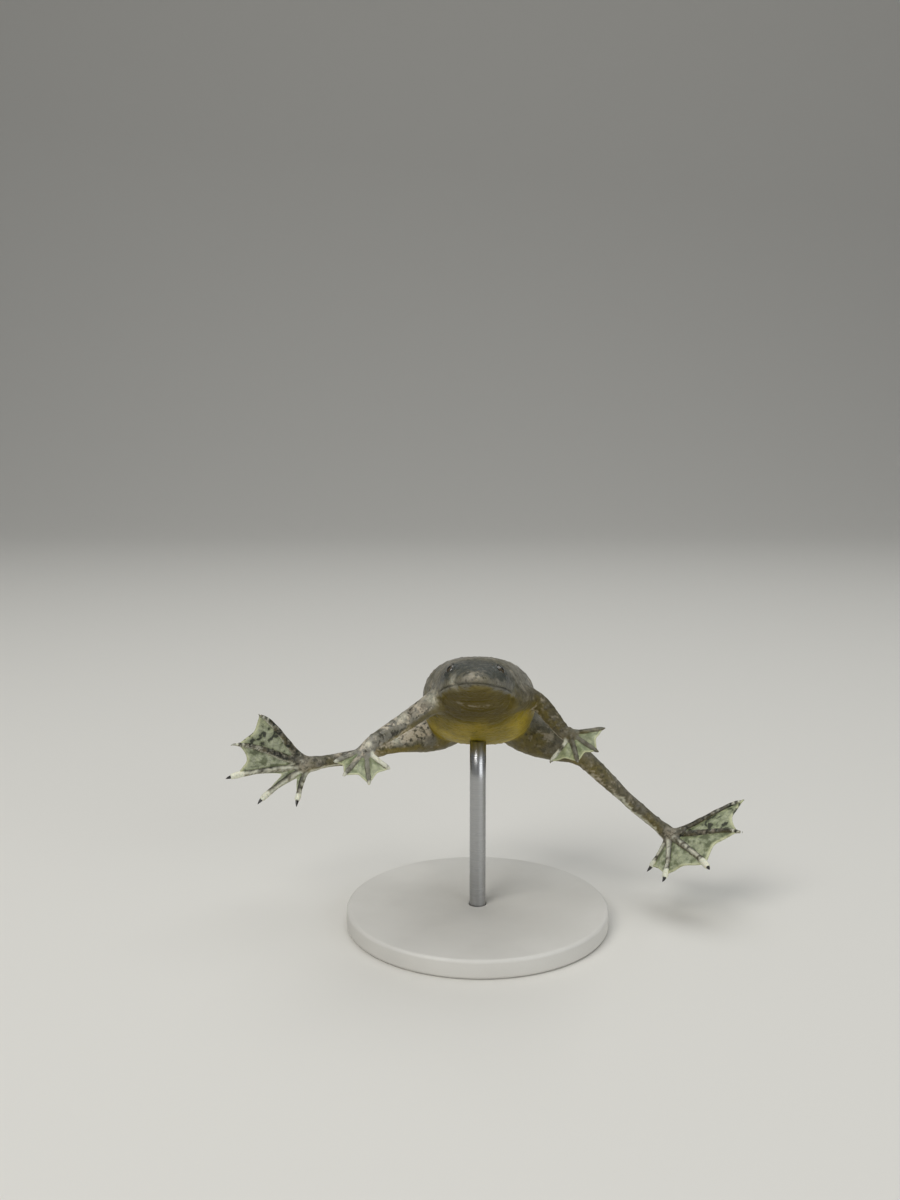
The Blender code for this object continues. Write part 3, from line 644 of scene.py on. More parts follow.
@dataclass(frozen=True)
class Fold:
    """A crease in the skin along a line of points in body axes, with a swelling on both sides."""

    line: tuple
    depth: float
    width: float

    def relief(self, points: np.ndarray) -> np.ndarray:
        """Bell-shaped dent along the line, with two lower bells beside it, fading at both ends."""
        line = even_path(np.array(self.line, float), 0.12)
        low, high = line.min(0) - 4 * self.width, line.max(0) + 4 * self.width
        raised = np.zeros(len(points))
        close = np.flatnonzero(np.all((points > low) & (points < high), axis=1))
        if not len(close):
            return raised
        square = (points[close] ** 2).sum(1)[:, None] + (line**2).sum(1)[None] - 2 * points[close] @ line.T
        nearest = np.argmin(square, axis=1)
        distance = np.sqrt(np.clip(square[np.arange(len(close)), nearest], 0, None))
        share = nearest / (len(line) - 1)
        fade = smooth_step(np.minimum(share, 1 - share), 0.0, 0.22)
        beside = 0.45 * bell(distance - 1.9 * self.width, self.width)
        raised[close] = fade * self.depth * (beside - bell(distance, self.width))
        return raised


@dataclass
class Frog:
    """The whole fleshy form, and where things lie on it."""

    place: BodyPlace = field(default_factory=BodyPlace)
    trunk: Trunk = field(default_factory=Trunk)
    eye: EyePlace = field(default_factory=EyePlace)
    face: Face = field(default_factory=Face)
    limbs: list = field(default_factory=list)
    folds: tuple = ()

    def smooth_distance(self, points: np.ndarray) -> np.ndarray:
        """Distance from trunk, eyes and limbs melted together, in world millimetres, before any relief."""
        inside = self.place.to_body(points)
        solid = self.trunk.distance(inside)
        for side in Side:
            solid = self.eye.shape(inside, solid, side)
        for limb in self.limbs:
            solid = melt(solid, limb.distance(points), 1.5 if limb.end is End.FOOT else 1.1)
        return solid

    def relief(self, points: np.ndarray) -> np.ndarray:
        """Lips, nostrils and folds, in millimetres outwards."""
        inside = self.place.to_body(points)
        raised = np.zeros(len(points))
        head = np.flatnonzero(inside[:, 1] < 10.5)
        raised[head] = self.face.relief(inside[head])
        for fold in self.folds:
            raised += fold.relief(inside)
        return raised

    def granules(self, points: np.ndarray) -> np.ndarray:
        """Small warts in two sizes: bells on scattered points, none on digits, lids and lips."""
        far, value = pebbles(points, 0.95, 3)
        raised = (0.045 + 0.070 * value) * bell(far, 0.26)
        fine, value = pebbles(points, 0.55, 8)
        raised += 0.030 * value * bell(fine, 0.17)
        quiet = np.ones(len(points))
        for limb in self.limbs:
            for toe in [*limb.toes, limb.palm]:
                quiet = np.minimum(quiet, np.clip(toe.distance(points, 1.2) / 0.6, 0, 1))
        inside = self.place.to_body(points)
        for side in Side:
            offset = np.linalg.norm(inside - self.eye.middle(side), axis=1)
            quiet = np.minimum(quiet, smooth_step(offset, 1.1, 1.9))
        mouth = np.abs(inside[:, 2] - self.face.mouth_height(inside[:, 1]))
        quiet = np.where(inside[:, 1] < 8, np.minimum(quiet, smooth_step(mouth, 0.25, 0.9)), quiet)
        return raised * quiet

    def distance(self, points: np.ndarray, rough: bool) -> np.ndarray:
        """Distance from the finished surface, without the granules if rough."""
        solid = self.smooth_distance(points) - self.relief(points)
        return solid if rough else solid - self.granules(points)

    def slope(self, points: np.ndarray, rough: bool) -> tuple[np.ndarray, np.ndarray]:
        """The distance at each point and its slope by forward steps."""
        step = 0.02
        here = self.distance(points, rough)
        slopes = [(self.distance(points + step * axis, rough) - here) / step for axis in np.eye(3)]
        return here, np.stack(slopes, axis=1)


# Finishes


def linear(code: str) -> tuple[float, float, float, float]:
    """Linear colour of an sRGB hex code."""
    parts = [int(code[k : k + 2], 16) / 255 for k in (1, 3, 5)]
    return (*(c / 12.92 if c <= 0.04045 else ((c + 0.055) / 1.055) ** 2.4 for c in parts), 1.0)


def add_node(
    tree: bpy.types.NodeTree, kind: str, sockets: dict | None = None, out: int | str = 0, **settings: object
) -> bpy.types.NodeSocket:
    """Adds a node, sets its properties, and sets or links its sockets.

    Args:
        tree: the material's node tree.
        kind: the node's type.
        sockets: for each input's name or number, a value or another node's output.
        out: the name or number of the output wanted.
        settings: the node's own properties.

    Returns:
        The output socket.
    """
    made = tree.nodes.new(kind)
    for key, value in settings.items():
        setattr(made, key, value)
    for key, value in (sockets or {}).items():
        if isinstance(value, bpy.types.NodeSocket):
            tree.links.new(value, made.inputs[key])
        else:
            made.inputs[key].default_value = value
    return made.outputs[out]


def lay_over(
    tree: bpy.types.NodeTree, base: str, layers: tuple, tones: dict, marks: dict
) -> bpy.types.NodeSocket:
    """Lays colours one over another.

    Args:
        tree: the material's node tree.
        base: the lowest colour.
        layers: for each, the tone that shapes it, the tone's values where it starts and is full, the mark
            that limits it, its strength and its colour.
        tones: texture outputs by name.
        marks: vertex marks by name, or plain numbers.

    Returns:
        The colour's socket.
    """
    colour = linear(base)
    for tone, low, high, name, strength, over in layers:
        limits = {"Value": tones[tone], "From Min": low, "From Max": high, "To Max": strength}
        share = add_node(tree, "ShaderNodeMapRange", limits, interpolation_type="SMOOTHSTEP")
        share = add_node(tree, "ShaderNodeMath", {0: share, 1: marks[name]}, operation="MULTIPLY")
        colour = add_node(tree, "ShaderNodeMix", {0: share, 6: colour, 7: linear(over)}, 2, data_type="RGBA")
    return colour


def new_material(name: str) -> tuple[bpy.types.Material, bpy.types.NodeTree, bpy.types.Node]:
    """An empty material with its tree and its Principled shader."""
    material = bpy.data.materials.new(name)
    material.use_nodes = True
    return material, material.node_tree, material.node_tree.nodes["Principled BSDF"]


@dataclass(frozen=True)
class MoistSkin:
    """Granular amphibian skin, kept moist: soft broad highlights, mottled pigment under a thin slimy film."""

    belly: str = "#857514"
    belly_light: str = "#ae9824"
    # Dark brown of painted shade: throat, chest, flanks, limb undersides and shaded limbs
    umber_shade: str = "#40360f"
    back: str = "#64614f"
    back_light: str = "#87847a"
    back_dark: str = "#28251c"
    # Blue-grey of painted shade on the face
    slate_shade: str = "#3a3e3b"
    pale: str = "#c6bba6"
    ivory: str = "#dcdcc8"
    dusk: str = "#23251f"

    def make(self) -> bpy.types.Material:
        """Builds the material from the skin's marks and from textures on Object coordinates, in metres."""
        material, tree, shader = new_material("moist_granular_skin")
        where = add_node(tree, "ShaderNodeTexCoord", out="Object")
        marks = {"all": 1.0}
        for name in SKIN_MARKS:
            marks[name] = add_node(tree, "ShaderNodeAttribute", out="Fac", attribute_name=name)
        # Clouds of 5 mm, blotches of 0.9 mm, patches of 1.2 mm and flecks of 0.5 mm
        tones = {}
        for name, scale in (("cloud", 210.0), ("blotch", 1100.0), ("patch", 820.0), ("fleck", 1900.0)):
            sockets = {"Vector": where, "W": scale / 300, "Scale": scale, "Detail": 3.0, "Roughness": 0.6}
            tones[name] = add_node(tree, "ShaderNodeTexNoise", sockets, noise_dimensions="4D")
        # Pepper dots about 0.25 mm across, and granules about 0.3 mm apart
        for name, scale in (("dots", 1250.0), ("grain", 3600.0)):
            sockets = {"Vector": where, "Scale": scale}
            tones[name] = add_node(tree, "ShaderNodeTexVoronoi", sockets, "Distance")
        layers = (
            ("cloud", 0.35, 0.65, "all", 1.0, self.belly_light),
            ("dots", 0.30, 0.16, "all", 0.35, self.back_dark),
            ("cloud", 0.00, 0.10, "back", 1.0, self.back),
            ("cloud", 0.62, 0.40, "back", 0.8, self.back_light),
            # Painted shade in dark brown
            ("fleck", 0.05, 0.32, "umber_shade", 1.0, self.umber_shade),
            ("fleck", 0.52, 0.66, "back", 0.5, self.back_dark),
            ("patch", 0.52, 0.65, "mottle", 0.75, self.pale),
            ("blotch", 0.51, 0.60, "mottle", 0.8, self.back_dark),
            # Painted shade in blue-grey
            ("fleck", 0.20, 0.50, "slate_shade", 0.9, self.slate_shade),
            # Pale blotches and lines, and the painted highlight on the nose
            ("fleck", 0.60, 0.46, "pale", 1.0, self.pale),
            ("fleck", 0.64, 0.44, "dusk", 1.0, self.dusk),
            ("cloud", 0.00, 0.10, "ivory", 1.0, self.ivory),
            # Painted shade between the granules, in the grooves that the bump makes
            ("grain", 0.55, 0.95, "all", 0.25, self.back_dark),
        )
        tree.links.new(lay_over(tree, self.belly, layers, tones, marks), shader.inputs["Base Color"])
        film = {"Value": marks["back"], "To Min": 0.02, "To Max": 0.15}
        tree.links.new(add_node(tree, "ShaderNodeMapRange", film), shader.inputs["Coat Weight"])
        shader.inputs["Coat Roughness"].default_value = 0.22
        shader.inputs["Specular IOR Level"].default_value = 0.22
        shader.inputs["IOR"].default_value = 1.40
        shader.inputs["Subsurface Weight"].default_value = 0.12
        shader.inputs["Subsurface Radius"].default_value = (1.0, 0.7, 0.45)
        shader.inputs["Subsurface Scale"].default_value = 0.0007
        rough = {"Value": tones["fleck"], "From Min": 0.3, "From Max": 0.7, "To Min": 0.40, "To Max": 0.56}
        tree.links.new(add_node(tree, "ShaderNodeMapRange", rough), shader.inputs["Roughness"])
        height = {0: tones["grain"], 1: -1.4, 2: tones["fleck"]}
        height = add_node(tree, "ShaderNodeMath", height, operation="MULTIPLY_ADD")
        bump = {"Height": height, "Strength": 0.7, "Distance": 0.00006}
        tree.links.new(add_node(tree, "ShaderNodeBump", bump), shader.inputs["Normal"])
        return material


@dataclass(frozen=True)
class WebMembrane:
    """Thin amphibian web: translucent grey-green membrane, clustered dark pigment and a paler free rim."""

    flesh: str = "#8a936e"
    light: str = "#abb28a"
    rim: str = "#cdd0a4"
    spot: str = "#34362c"

    def make(self) -> bpy.types.Material:
        """Builds the material. Its marks give how spotted the web is, and how near its rim or a digit is."""
        material, tree, shader = new_material("web_membrane")
        where = add_node(tree, "ShaderNodeTexCoord", out="Object")
        marks = {"all": 1.0}
        for name in ("spotted", "rim", "root"):
            marks[name] = add_node(tree, "ShaderNodeAttribute", out="Fac", attribute_name=name)
        # Pigment spots 0.4 to 0.8 mm across, with a fine net of veins between them
        cloud = {"Vector": where, "Scale": 1150.0, "Detail": 2.0}
        veins = {"Vector": where, "Scale": 1300.0}
        tones = {
            "cloud": add_node(tree, "ShaderNodeTexNoise", cloud),
            "veins": add_node(tree, "ShaderNodeTexVoronoi", veins, "Distance", feature="DISTANCE_TO_EDGE"),
        }
        layers = (
            ("cloud", 0.60, 0.35, "all", 1.0, self.light),
            ("veins", 0.10, 0.02, "all", 0.25, self.spot),
            ("cloud", 0.00, 0.10, "rim", 1.0, self.rim),
            ("cloud", 0.53, 0.62, "spotted", 1.0, self.spot),
            ("cloud", 0.30, 0.60, "root", 0.80, self.spot),
        )
        tree.links.new(lay_over(tree, self.flesh, layers, tones, marks), shader.inputs["Base Color"])
        solid = {"Value": tones["cloud"], "From Min": 0.50, "From Max": 0.62, "To Min": 0.62, "To Max": 0.90}
        solid = add_node(tree, "ShaderNodeMapRange", solid)
        solid = {0: marks["root"], 1: 0.35, 2: solid}
        solid = add_node(tree, "ShaderNodeMath", solid, operation="MULTIPLY_ADD")
        tree.links.new(solid, shader.inputs["Alpha"])
        rough = {"Value": tones["cloud"], "From Min": 0.3, "From Max": 0.7, "To Min": 0.30, "To Max": 0.48}
        tree.links.new(add_node(tree, "ShaderNodeMapRange", rough), shader.inputs["Roughness"])
        shader.inputs["IOR"].default_value = 1.40
        bump = {"Height": tones["veins"], "Strength": 0.35, "Distance": 0.00004}
        tree.links.new(add_node(tree, "ShaderNodeBump", bump), shader.inputs["Normal"])
        return material


@dataclass(frozen=True)
class Keratin:
    """Black claw horn: hard, smooth and glossy, a little brown and paler where it leaves the flesh."""

    dark: str = "#16130f"
    brown: str = "#4a3827"

    def make(self) -> bpy.types.Material:
        """Builds the material from the mark of how far each point lies from the claw's root."""
        material, tree, shader = new_material("black_keratin")
        where = add_node(tree, "ShaderNodeTexCoord", out="Object")
        lead = add_node(tree, "ShaderNodeAttribute", out="Fac", attribute_name="lead")
        grain = add_node(tree, "ShaderNodeTexNoise", {"Vector": where, "Scale": 5200.0, "Detail": 3.0})
        layers = (("lead", 0.0, 0.35, "all", 1.0, self.dark), ("grain", 0.55, 0.7, "all", 0.3, self.brown))
        colour = lay_over(tree, self.brown, layers, {"lead": lead, "grain": grain}, {"all": 1.0})
        tree.links.new(colour, shader.inputs["Base Color"])
        rough = {"Value": grain, "From Min": 0.3, "From Max": 0.7, "To Min": 0.16, "To Max": 0.30}
        tree.links.new(add_node(tree, "ShaderNodeMapRange", rough), shader.inputs["Roughness"])
        shader.inputs["IOR"].default_value = 1.54
        return material


@dataclass(frozen=True)
class WetEye:
    """A living eye: black pupil, dark bronze iris with pale flecks, all under a clear glossy cornea."""

    pupil: str = "#050506"
    iris: str = "#241f18"
    fleck: str = "#5d5134"
    rim: str = "#15130f"

    def make(self) -> bpy.types.Material:
        """Builds the material from the mark of each point's angle off the eye's axis, in radians."""
        material, tree, shader = new_material("wet_eye")
        where = add_node(tree, "ShaderNodeTexCoord", out="Object")
        fleck = {"Vector": where, "Scale": 5600.0, "Detail": 4.0, "Roughness": 0.75}
        tones = {
            "off": add_node(tree, "ShaderNodeAttribute", out="Fac", attribute_name="off_axis"),
            "fleck": add_node(tree, "ShaderNodeTexNoise", fleck),
        }
        layers = (
            ("fleck", 0.50, 0.62, "all", 0.7, self.fleck),
            ("off", 0.60, 0.51, "all", 0.75, self.fleck),
            ("off", 0.50, 0.45, "all", 1.0, self.pupil),
            ("off", 0.84, 0.96, "all", 1.0, self.rim),
        )
        tree.links.new(lay_over(tree, self.iris, layers, tones, {"all": 1.0}), shader.inputs["Base Color"])
        shader.inputs["Roughness"].default_value = 0.25
        shader.inputs["Coat Weight"].default_value = 0.7
        shader.inputs["Coat Roughness"].default_value = 0.03
        shader.inputs["Coat IOR"].default_value = 1.38
        return material


@dataclass(frozen=True)
class MattePlastic:
    """Moulded matt plastic from a spark-textured mould: fine even grain, no clear reflections."""

    colour: str = "#d2d0ca"
    shade: str = "#cccac4"

    def make(self) -> bpy.types.Material:
        """Builds the material. The grain is 0.25 mm, as coarse as it needs to be to show."""
        material, tree, shader = new_material("moulded_matte_plastic")
        where = add_node(tree, "ShaderNodeTexCoord", out="Object")
        grain = add_node(tree, "ShaderNodeTexNoise", {"Vector": where, "Scale": 3600.0, "Detail": 2.0})
        cloud = add_node(tree, "ShaderNodeTexNoise", {"Vector": where, "Scale": 120.0, "Detail": 4.0})
        layers = (("cloud", 0.3, 0.7, "all", 1.0, self.shade),)
        colour = lay_over(tree, self.colour, layers, {"cloud": cloud}, {"all": 1.0})
        tree.links.new(colour, shader.inputs["Base Color"])
        rough = {"Value": cloud, "From Min": 0.3, "From Max": 0.7, "To Min": 0.48, "To Max": 0.60}
        tree.links.new(add_node(tree, "ShaderNodeMapRange", rough), shader.inputs["Roughness"])
        shader.inputs["IOR"].default_value = 1.50
        bump = {"Height": grain, "Strength": 0.25, "Distance": 0.00005}
        tree.links.new(add_node(tree, "ShaderNodeBump", bump), shader.inputs["Normal"])
        return material


@dataclass(frozen=True)
class BrushedSteel:
    """Ground stainless steel rod: fine lines round it from centreless grinding, and a satin gloss."""

    bright: str = "#b4b5b6"
    dull: str = "#a9aaab"

    def make(self) -> bpy.types.Material:
        """Builds the material. The lines run round the rod, about 0.15 mm apart."""
        material, tree, shader = new_material("brushed_steel")
        where = add_node(tree, "ShaderNodeTexCoord", out="Object")
        lines = add_node(tree, "ShaderNodeMapping", {"Vector": where, "Scale": (60.0, 60.0, 6500.0)})
        grain = add_node(tree, "ShaderNodeTexNoise", {"Vector": lines, "Scale": 1.0, "Detail": 3.0})
        layers = (("grain", 0.3, 0.7, "all", 1.0, self.dull),)
        colour = lay_over(tree, self.bright, layers, {"grain": grain}, {"all": 1.0})
        tree.links.new(colour, shader.inputs["Base Color"])
        rough = {"Value": grain, "From Min": 0.3, "From Max": 0.7, "To Min": 0.24, "To Max": 0.40}
        tree.links.new(add_node(tree, "ShaderNodeMapRange", rough), shader.inputs["Roughness"])
        shader.inputs["Metallic"].default_value = 1.0
        bump = {"Height": grain, "Strength": 0.05, "Distance": 0.00001}
        tree.links.new(add_node(tree, "ShaderNodeBump", bump), shader.inputs["Normal"])
        return material


# The pieces


@dataclass
class Skin:
    """The one skin over head, trunk, arms, legs and digits."""

    frog: Frog
    voxel: float = 0.225

    def rough_mesh(self) -> bpy.types.Mesh:
        """Lofts of every part, put together and remeshed into one surface, in millimetres."""
        shells = [self.frog.place.to_world(self.frog.trunk.rings(60, 48).reshape(-1, 3)).reshape(60, 48, 3)]
        for limb in self.frog.limbs:
            shells.append(limb.arm.rings(16, 3))
            shells.append(limb.palm.rings(16, 2, True))
            shells.extend(toe.rings(12, 3, True) for toe in limb.toes)
        points, faces, start = [], [], 0
        for rings in shells:
            more, corners = closed_rings(rings)
            points.append(more)
            faces.extend(tuple(c + start for c in face) for face in corners)
            start += len(more)
        rough = add_mesh("rough_skin", np.vstack(points) / MM, faces, None)
        rough.modifiers.new("join", "REMESH").mode = "VOXEL"
        rough.modifiers["join"].voxel_size = self.voxel
        bpy.context.view_layer.update()
        joined = bpy.data.meshes.new_from_object(rough.evaluated_get(bpy.context.evaluated_depsgraph_get()))
        bpy.data.objects.remove(rough)
        return joined

    def refine(self, mesh: bpy.types.Mesh, chosen: Callable[[np.ndarray], np.ndarray]) -> None:
        """Splits every face whose middle is chosen into four."""
        made = bmesh.new()
        made.from_mesh(mesh)
        middles = np.array([face.calc_center_median() for face in made.faces])
        picked = chosen(middles)
        edges = {edge for face, pick in zip(made.faces, picked) if pick for edge in face.edges}
        bmesh.ops.subdivide_edges(made, edges=list(edges), cuts=1, use_grid_fill=True)
        made.to_mesh(mesh)
        made.free()

    def in_head(self, points: np.ndarray) -> np.ndarray:
        """Whether each point lies on the head."""
        return self.frog.place.to_body(points)[:, 1] < 8.6

    def in_detail(self, points: np.ndarray) -> np.ndarray:
        """Whether each point lies by an eye, a nostril or the mouth's line."""
        inside = self.frog.place.to_body(points)
        mouth = np.abs(inside[:, 2] - self.frog.face.mouth_height(inside[:, 1])) < 0.42
        close = mouth & (inside[:, 1] < 8.0)
        for side in Side:
            close |= np.linalg.norm(inside - self.frog.eye.middle(side), axis=1) < 1.3
            nostril = np.array(self.frog.face.nostril) * (side.sign, 1, 1)
            close |= np.linalg.norm(inside - nostril, axis=1) < 0.65
        return close

    def settle(self, points: np.ndarray, edges: np.ndarray) -> np.ndarray:
        """Moves the points on to the frog's form by Newton steps along its slope, and spreads them evenly."""
        ends = np.concatenate([edges[:, 0], edges[:, 1]])
        others = np.concatenate([edges[:, 1], edges[:, 0]])
        count = np.maximum(np.bincount(ends, minlength=len(points)), 1)[:, None]
        for turn in range(6):
            rough = turn < 4
            here, slope = self.frog.slope(points, rough)
            square = np.maximum((slope**2).sum(1), 0.15)
            move = -(here / square)[:, None] * slope
            longest = np.linalg.norm(move, axis=1, keepdims=True)
            points = points + move * np.minimum(1.0, 0.35 / np.maximum(longest, 1e-9))
            if rough:
                total = [np.bincount(ends, points[others, k], len(points)) for k in range(3)]
                slide = np.stack(total, axis=1) / count - points
                normal = unit(slope)
                slide -= (slide * normal).sum(1)[:, None] * normal
                points = points + 0.5 * slide
        return points

    def build(self, material: bpy.types.Material) -> bpy.types.Object:
        """Makes the skin and its marks."""
        mesh = self.rough_mesh()
        self.refine(mesh, self.in_head)
        self.refine(mesh, self.in_detail)
        edges = np.empty(len(mesh.edges) * 2, int)
        mesh.edges.foreach_get("vertices", edges)
        points = self.settle(mesh_points(mesh), edges.reshape(-1, 2))
        mesh.vertices.foreach_set("co", (points * MM).reshape(-1))
        whole = bmesh.new()
        whole.from_mesh(mesh)
        for side in Side:
            more, faces = self.frog.eye.lids(side)
            rim = add_mesh("rim", self.frog.place.to_world(more), faces.tolist(), None)
            whole.from_mesh(rim.data)
            bpy.data.objects.remove(rim)
        whole.to_mesh(mesh)
        whole.free()
        points = mesh_points(mesh) / MM
        mesh.shade_smooth()
        mesh.name = "frog_skin"
        mesh.materials.clear()
        mesh.materials.append(material)
        obj = bpy.data.objects.new("frog_skin", mesh)
        bpy.context.scene.collection.objects.link(obj)
        self.add_marks(mesh, points)
        return obj

    def add_marks(self, mesh: bpy.types.Mesh, points: np.ndarray) -> None:
        """Marks for the material: where the skin is back, mottled, pale, dusky or ivory, and where painted
        shade lies in brown or blue-grey.
        """
        normals = np.empty(len(points) * 3)
        mesh.vertex_normals.foreach_get("vector", normals)
        normals = normals.reshape(-1, 3)
        zones = {name: np.zeros(len(points)) for name in SKIN_MARKS}
        self.mark_trunk(zones, points, normals)
        for limb in self.frog.limbs:
            self.mark_limb(zones, limb, points, normals)
            for number in range(len(limb.toes)):
                self.mark_digit(zones, limb, number, points)
        self.mark_face(zones, points)
        for x, y, z, radius in PALE_SPOTS:
            uneven = 0.4 + 0.6 * clouds(points, 0.5, 21)
            spot = bell(np.linalg.norm(points - (x, y, z), axis=1), radius) * uneven
            zones["pale"] = np.maximum(zones["pale"], spot)
            zones["ivory"] = np.maximum(zones["ivory"], 0.6 * spot)
        for name, values in zones.items():
            mark(mesh, name, values)

    def mark_trunk(self, zones: dict, points: np.ndarray, normals: np.ndarray) -> None:
        """Grey-brown back, yellow-olive belly with a ragged border, and painted shade on throat, chest and
        flanks.
        """
        inside = self.frog.place.to_body(points)
        facing = normals @ self.frog.place.turn[:, 2] + 0.05 * inside[:, 2]
        ragged = 0.45 * (clouds(points, 1.6, 5) - 0.5) + 0.25 * (clouds(points, 0.7, 6) - 0.5)
        zones["back"][:] = smooth_step(facing + 1.6 * ragged, -0.85, 0.20)
        # Painted shade in brown: full over throat and chest, less on the flanks, thinned in clouds behind the
        # head
        front = 1 - smooth_step(inside[:, 1] + 3 * ragged, 8.0, 18.0)
        flank = smooth_step(np.abs(inside[:, 0]), 4.2, 7.0)
        thin = 0.35 * clouds(points, 2.2, 9) * smooth_step(inside[:, 1], 7.0, 13.0)
        zones["umber_shade"][:] = np.maximum(front, 0.4 * flank) * (1 - thin) * (1 - 0.85 * zones["back"])
        zones["mottle"][:] = 0.45 * zones["back"]

    def mark_limb(self, zones: dict, limb: Limb, points: np.ndarray, normals: np.ndarray) -> None:
        """Limbs: mottled above, plain tan with painted shade below, a pale line between, and paler where they
        blush.
        """
        close = np.flatnonzero(limb.distance(points) < 0.7)
        gap = limb.distance(points[close])
        share = limb.arm.place(points[close])[1]
        on = 1 - smooth_step(gap, 0.05, 0.7)
        rise = normals[close, 2] + 0.4 * (clouds(points[close], 0.9, 7) - 0.5)
        above = smooth_step(rise, -0.50, -0.10)
        # The underside's dark brown is painted shade
        below = (1 - above) * (0.5 - 0.2 * clouds(points[close], 1.1, 15))
        palm = np.linalg.norm(points[close] - limb.palm.path[-1], axis=1)
        # A limb's shade is painted shade: dark brown all over, calmer mottling and a plain palm
        calm = max(0.4, 1 - 1.6 * limb.shade)
        values = {
            "back": 0.5 + 0.5 * np.maximum(above * calm, smooth_step(rise, 0.1, 0.5)),
            "mottle": above * calm * (1 - bell(palm, 2.2) * (limb.shade > 0)),
            "umber_shade": np.maximum(below, limb.shade),
        }
        for name, value in values.items():
            zones[name][close] = zones[name][close] * (1 - on) + on * value
        blush = limb.blush * (1 - smooth_step(share, 0.34, 0.5)) * smooth_step(rise, -0.1, 0.3)
        line = 0.75 * bell(rise + 0.58, 0.13) * smooth_step(share, 0.35, 0.5)
        sole = 0.6 * bell(palm, 1.3) * (limb.end is End.FOOT)
        blush = np.maximum(np.maximum(blush, line) * smooth_step(share, 0.0, 0.1), sole)
        zones["pale"][close] = np.maximum(zones["pale"][close], on * blush)
        shin = 0.8 * bell(rise + 0.6, 0.15) * smooth_step(share, 0.58, 0.70) * (limb.end is End.FOOT)
        zones["ivory"][close] = np.maximum(zones["ivory"][close], on * shin)

    def mark_digit(self, zones: dict, limb: Limb, number: int, points: np.ndarray) -> None:
        """Clawed toes have an ivory stripe along the sole and a white tip. The others are dusky."""
        toe, digit = limb.toes[number], limb.digits[number]
        close = toe.near(points, 0.3)
        gap, share, sideways, rise = toe.place(points[close])
        on = 1 - smooth_step(gap, 0.04, 0.22)
        patch = clouds(points[close], 0.6, 11 + number)
        fine = clouds(points[close], 0.35, 31 + number)
        sole = smooth_step(-rise, 0.0, 0.5)
        middle = sole * bell(sideways + 0.25 * (fine - 0.5), 0.55)
        if digit.clawed:
            stripe = middle * smooth_step(0.6 * patch + 0.4 * fine, 0.25, 0.55)
            stripe = stripe * smooth_step(share, 0.02, 0.12)
            white = np.maximum(stripe * 0.85, smooth_step(share + 0.03 * fine, 0.84, 0.88))
            dark = 0.85 * (1 - middle) + 0.5 * middle * smooth_step(fine, 0.5, 0.3)
        elif limb.end is End.FOOT:
            dots = bell(share - 0.99, 0.015) + bell(share - 0.93, 0.012) + bell(share - 0.86, 0.01)
            white = np.maximum(sole * dots, 0.4 * middle * smooth_step(fine, 0.68, 0.8))
            dark = 0.5 + 0.5 * smooth_step(patch, 0.65, 0.35)
        else:
            white = sole * (0.75 if number == limb.white_finger else 0.12) * smooth_step(patch, 0.2, 0.5)
            # Painted shade on a shaded hand: no white tips, and darker fingers
            tip = 0.7 * smooth_step(share + 0.05 * fine, 0.86, 0.95) * (limb.shade == 0)
            white = np.maximum(white, tip)
            dark = (0.45 + 0.4 * smooth_step(patch, 0.45, 0.65)) * min(1.0, 0.4 + limb.shade)
        zones["ivory"][close] = np.maximum(zones["ivory"][close], on * white)
        zones["dusk"][close] = np.maximum(zones["dusk"][close], on * dark * smooth_step(share, 0.0, 0.15))

    def mark_face(self, zones: dict, points: np.ndarray) -> None:
        """Painted shade on snout, round the eyes and on a cheek, a painted highlight on the nose, dark
        nostrils and mouth line.
        """
        inside = self.frog.place.to_body(points)
        head = (1 - smooth_step(inside[:, 1], 7.0, 10.5)) * (self.frog.trunk.distance(inside) < 1.2)
        lift = inside[:, 2] - self.frog.face.mouth_height(inside[:, 1])
        ragged = 0.5 * (clouds(points, 0.9, 5) - 0.5)
        face = smooth_step(lift + ragged, -0.75, -0.25)
        zones["back"][:] = zones["back"] * (1 - head) + head * face
        zones["mottle"][:] *= 1 - 0.65 * head
        # Painted shade in brown under the mouth
        throat = 0.88 * (1 - 0.85 * zones["back"])
        zones["umber_shade"][:] = zones["umber_shade"] * (1 - head) + head * throat
        smile = even_path(np.array(THROAT_LINE), 0.25)
        smile = [np.linalg.norm(inside - spot, axis=1) for spot in smile]
        smile = np.min(smile, axis=0)
        # Painted highlight on the middle of the nose, and a pale line along the throat fold
        nose = np.linalg.norm((inside - NOSE_MIDDLE) * (0.7, 1, 1), axis=1)
        bright = np.maximum(0.32 * bell(smile, 0.3), 0.4 * bell(nose, 0.9))
        zones["pale"][:] = np.maximum(zones["pale"], bright)
        # Painted shade in blue-grey: over the snout, lifted at the nose's highlight, round the eyes and on
        # the left cheek
        snout = (1 - smooth_step(inside[:, 1] + 5 * ragged, 5.0, 11.5)) * smooth_step(lift + ragged, 0.5, 1.0)
        ball = [np.linalg.norm(inside - self.frog.eye.middle(side), axis=1) for side in Side]
        around = 1 - smooth_step(np.minimum(*ball), 1.2, 2.0)
        cheek = 0.7 * bell(np.linalg.norm(inside - SHADED_CHEEK, axis=1), 1.5)
        snout = 0.9 * head * snout * (1 - 0.8 * bell(nose, 0.9))
        zones["slate_shade"][:] = np.maximum(snout, np.maximum(around, cheek))
        hole = (np.abs(inside) - np.array(self.frog.face.nostril)) * (1.0, 0.85, 0.3)
        hole = bell(np.linalg.norm(hole, axis=1), 0.19) * (inside[:, 2] > 0.3)
        line = bell(lift, 0.08) * (inside[:, 1] < self.frog.face.mouth_end) * head
        zones["dusk"][:] = np.maximum(zones["dusk"], np.maximum(hole, 0.7 * line))


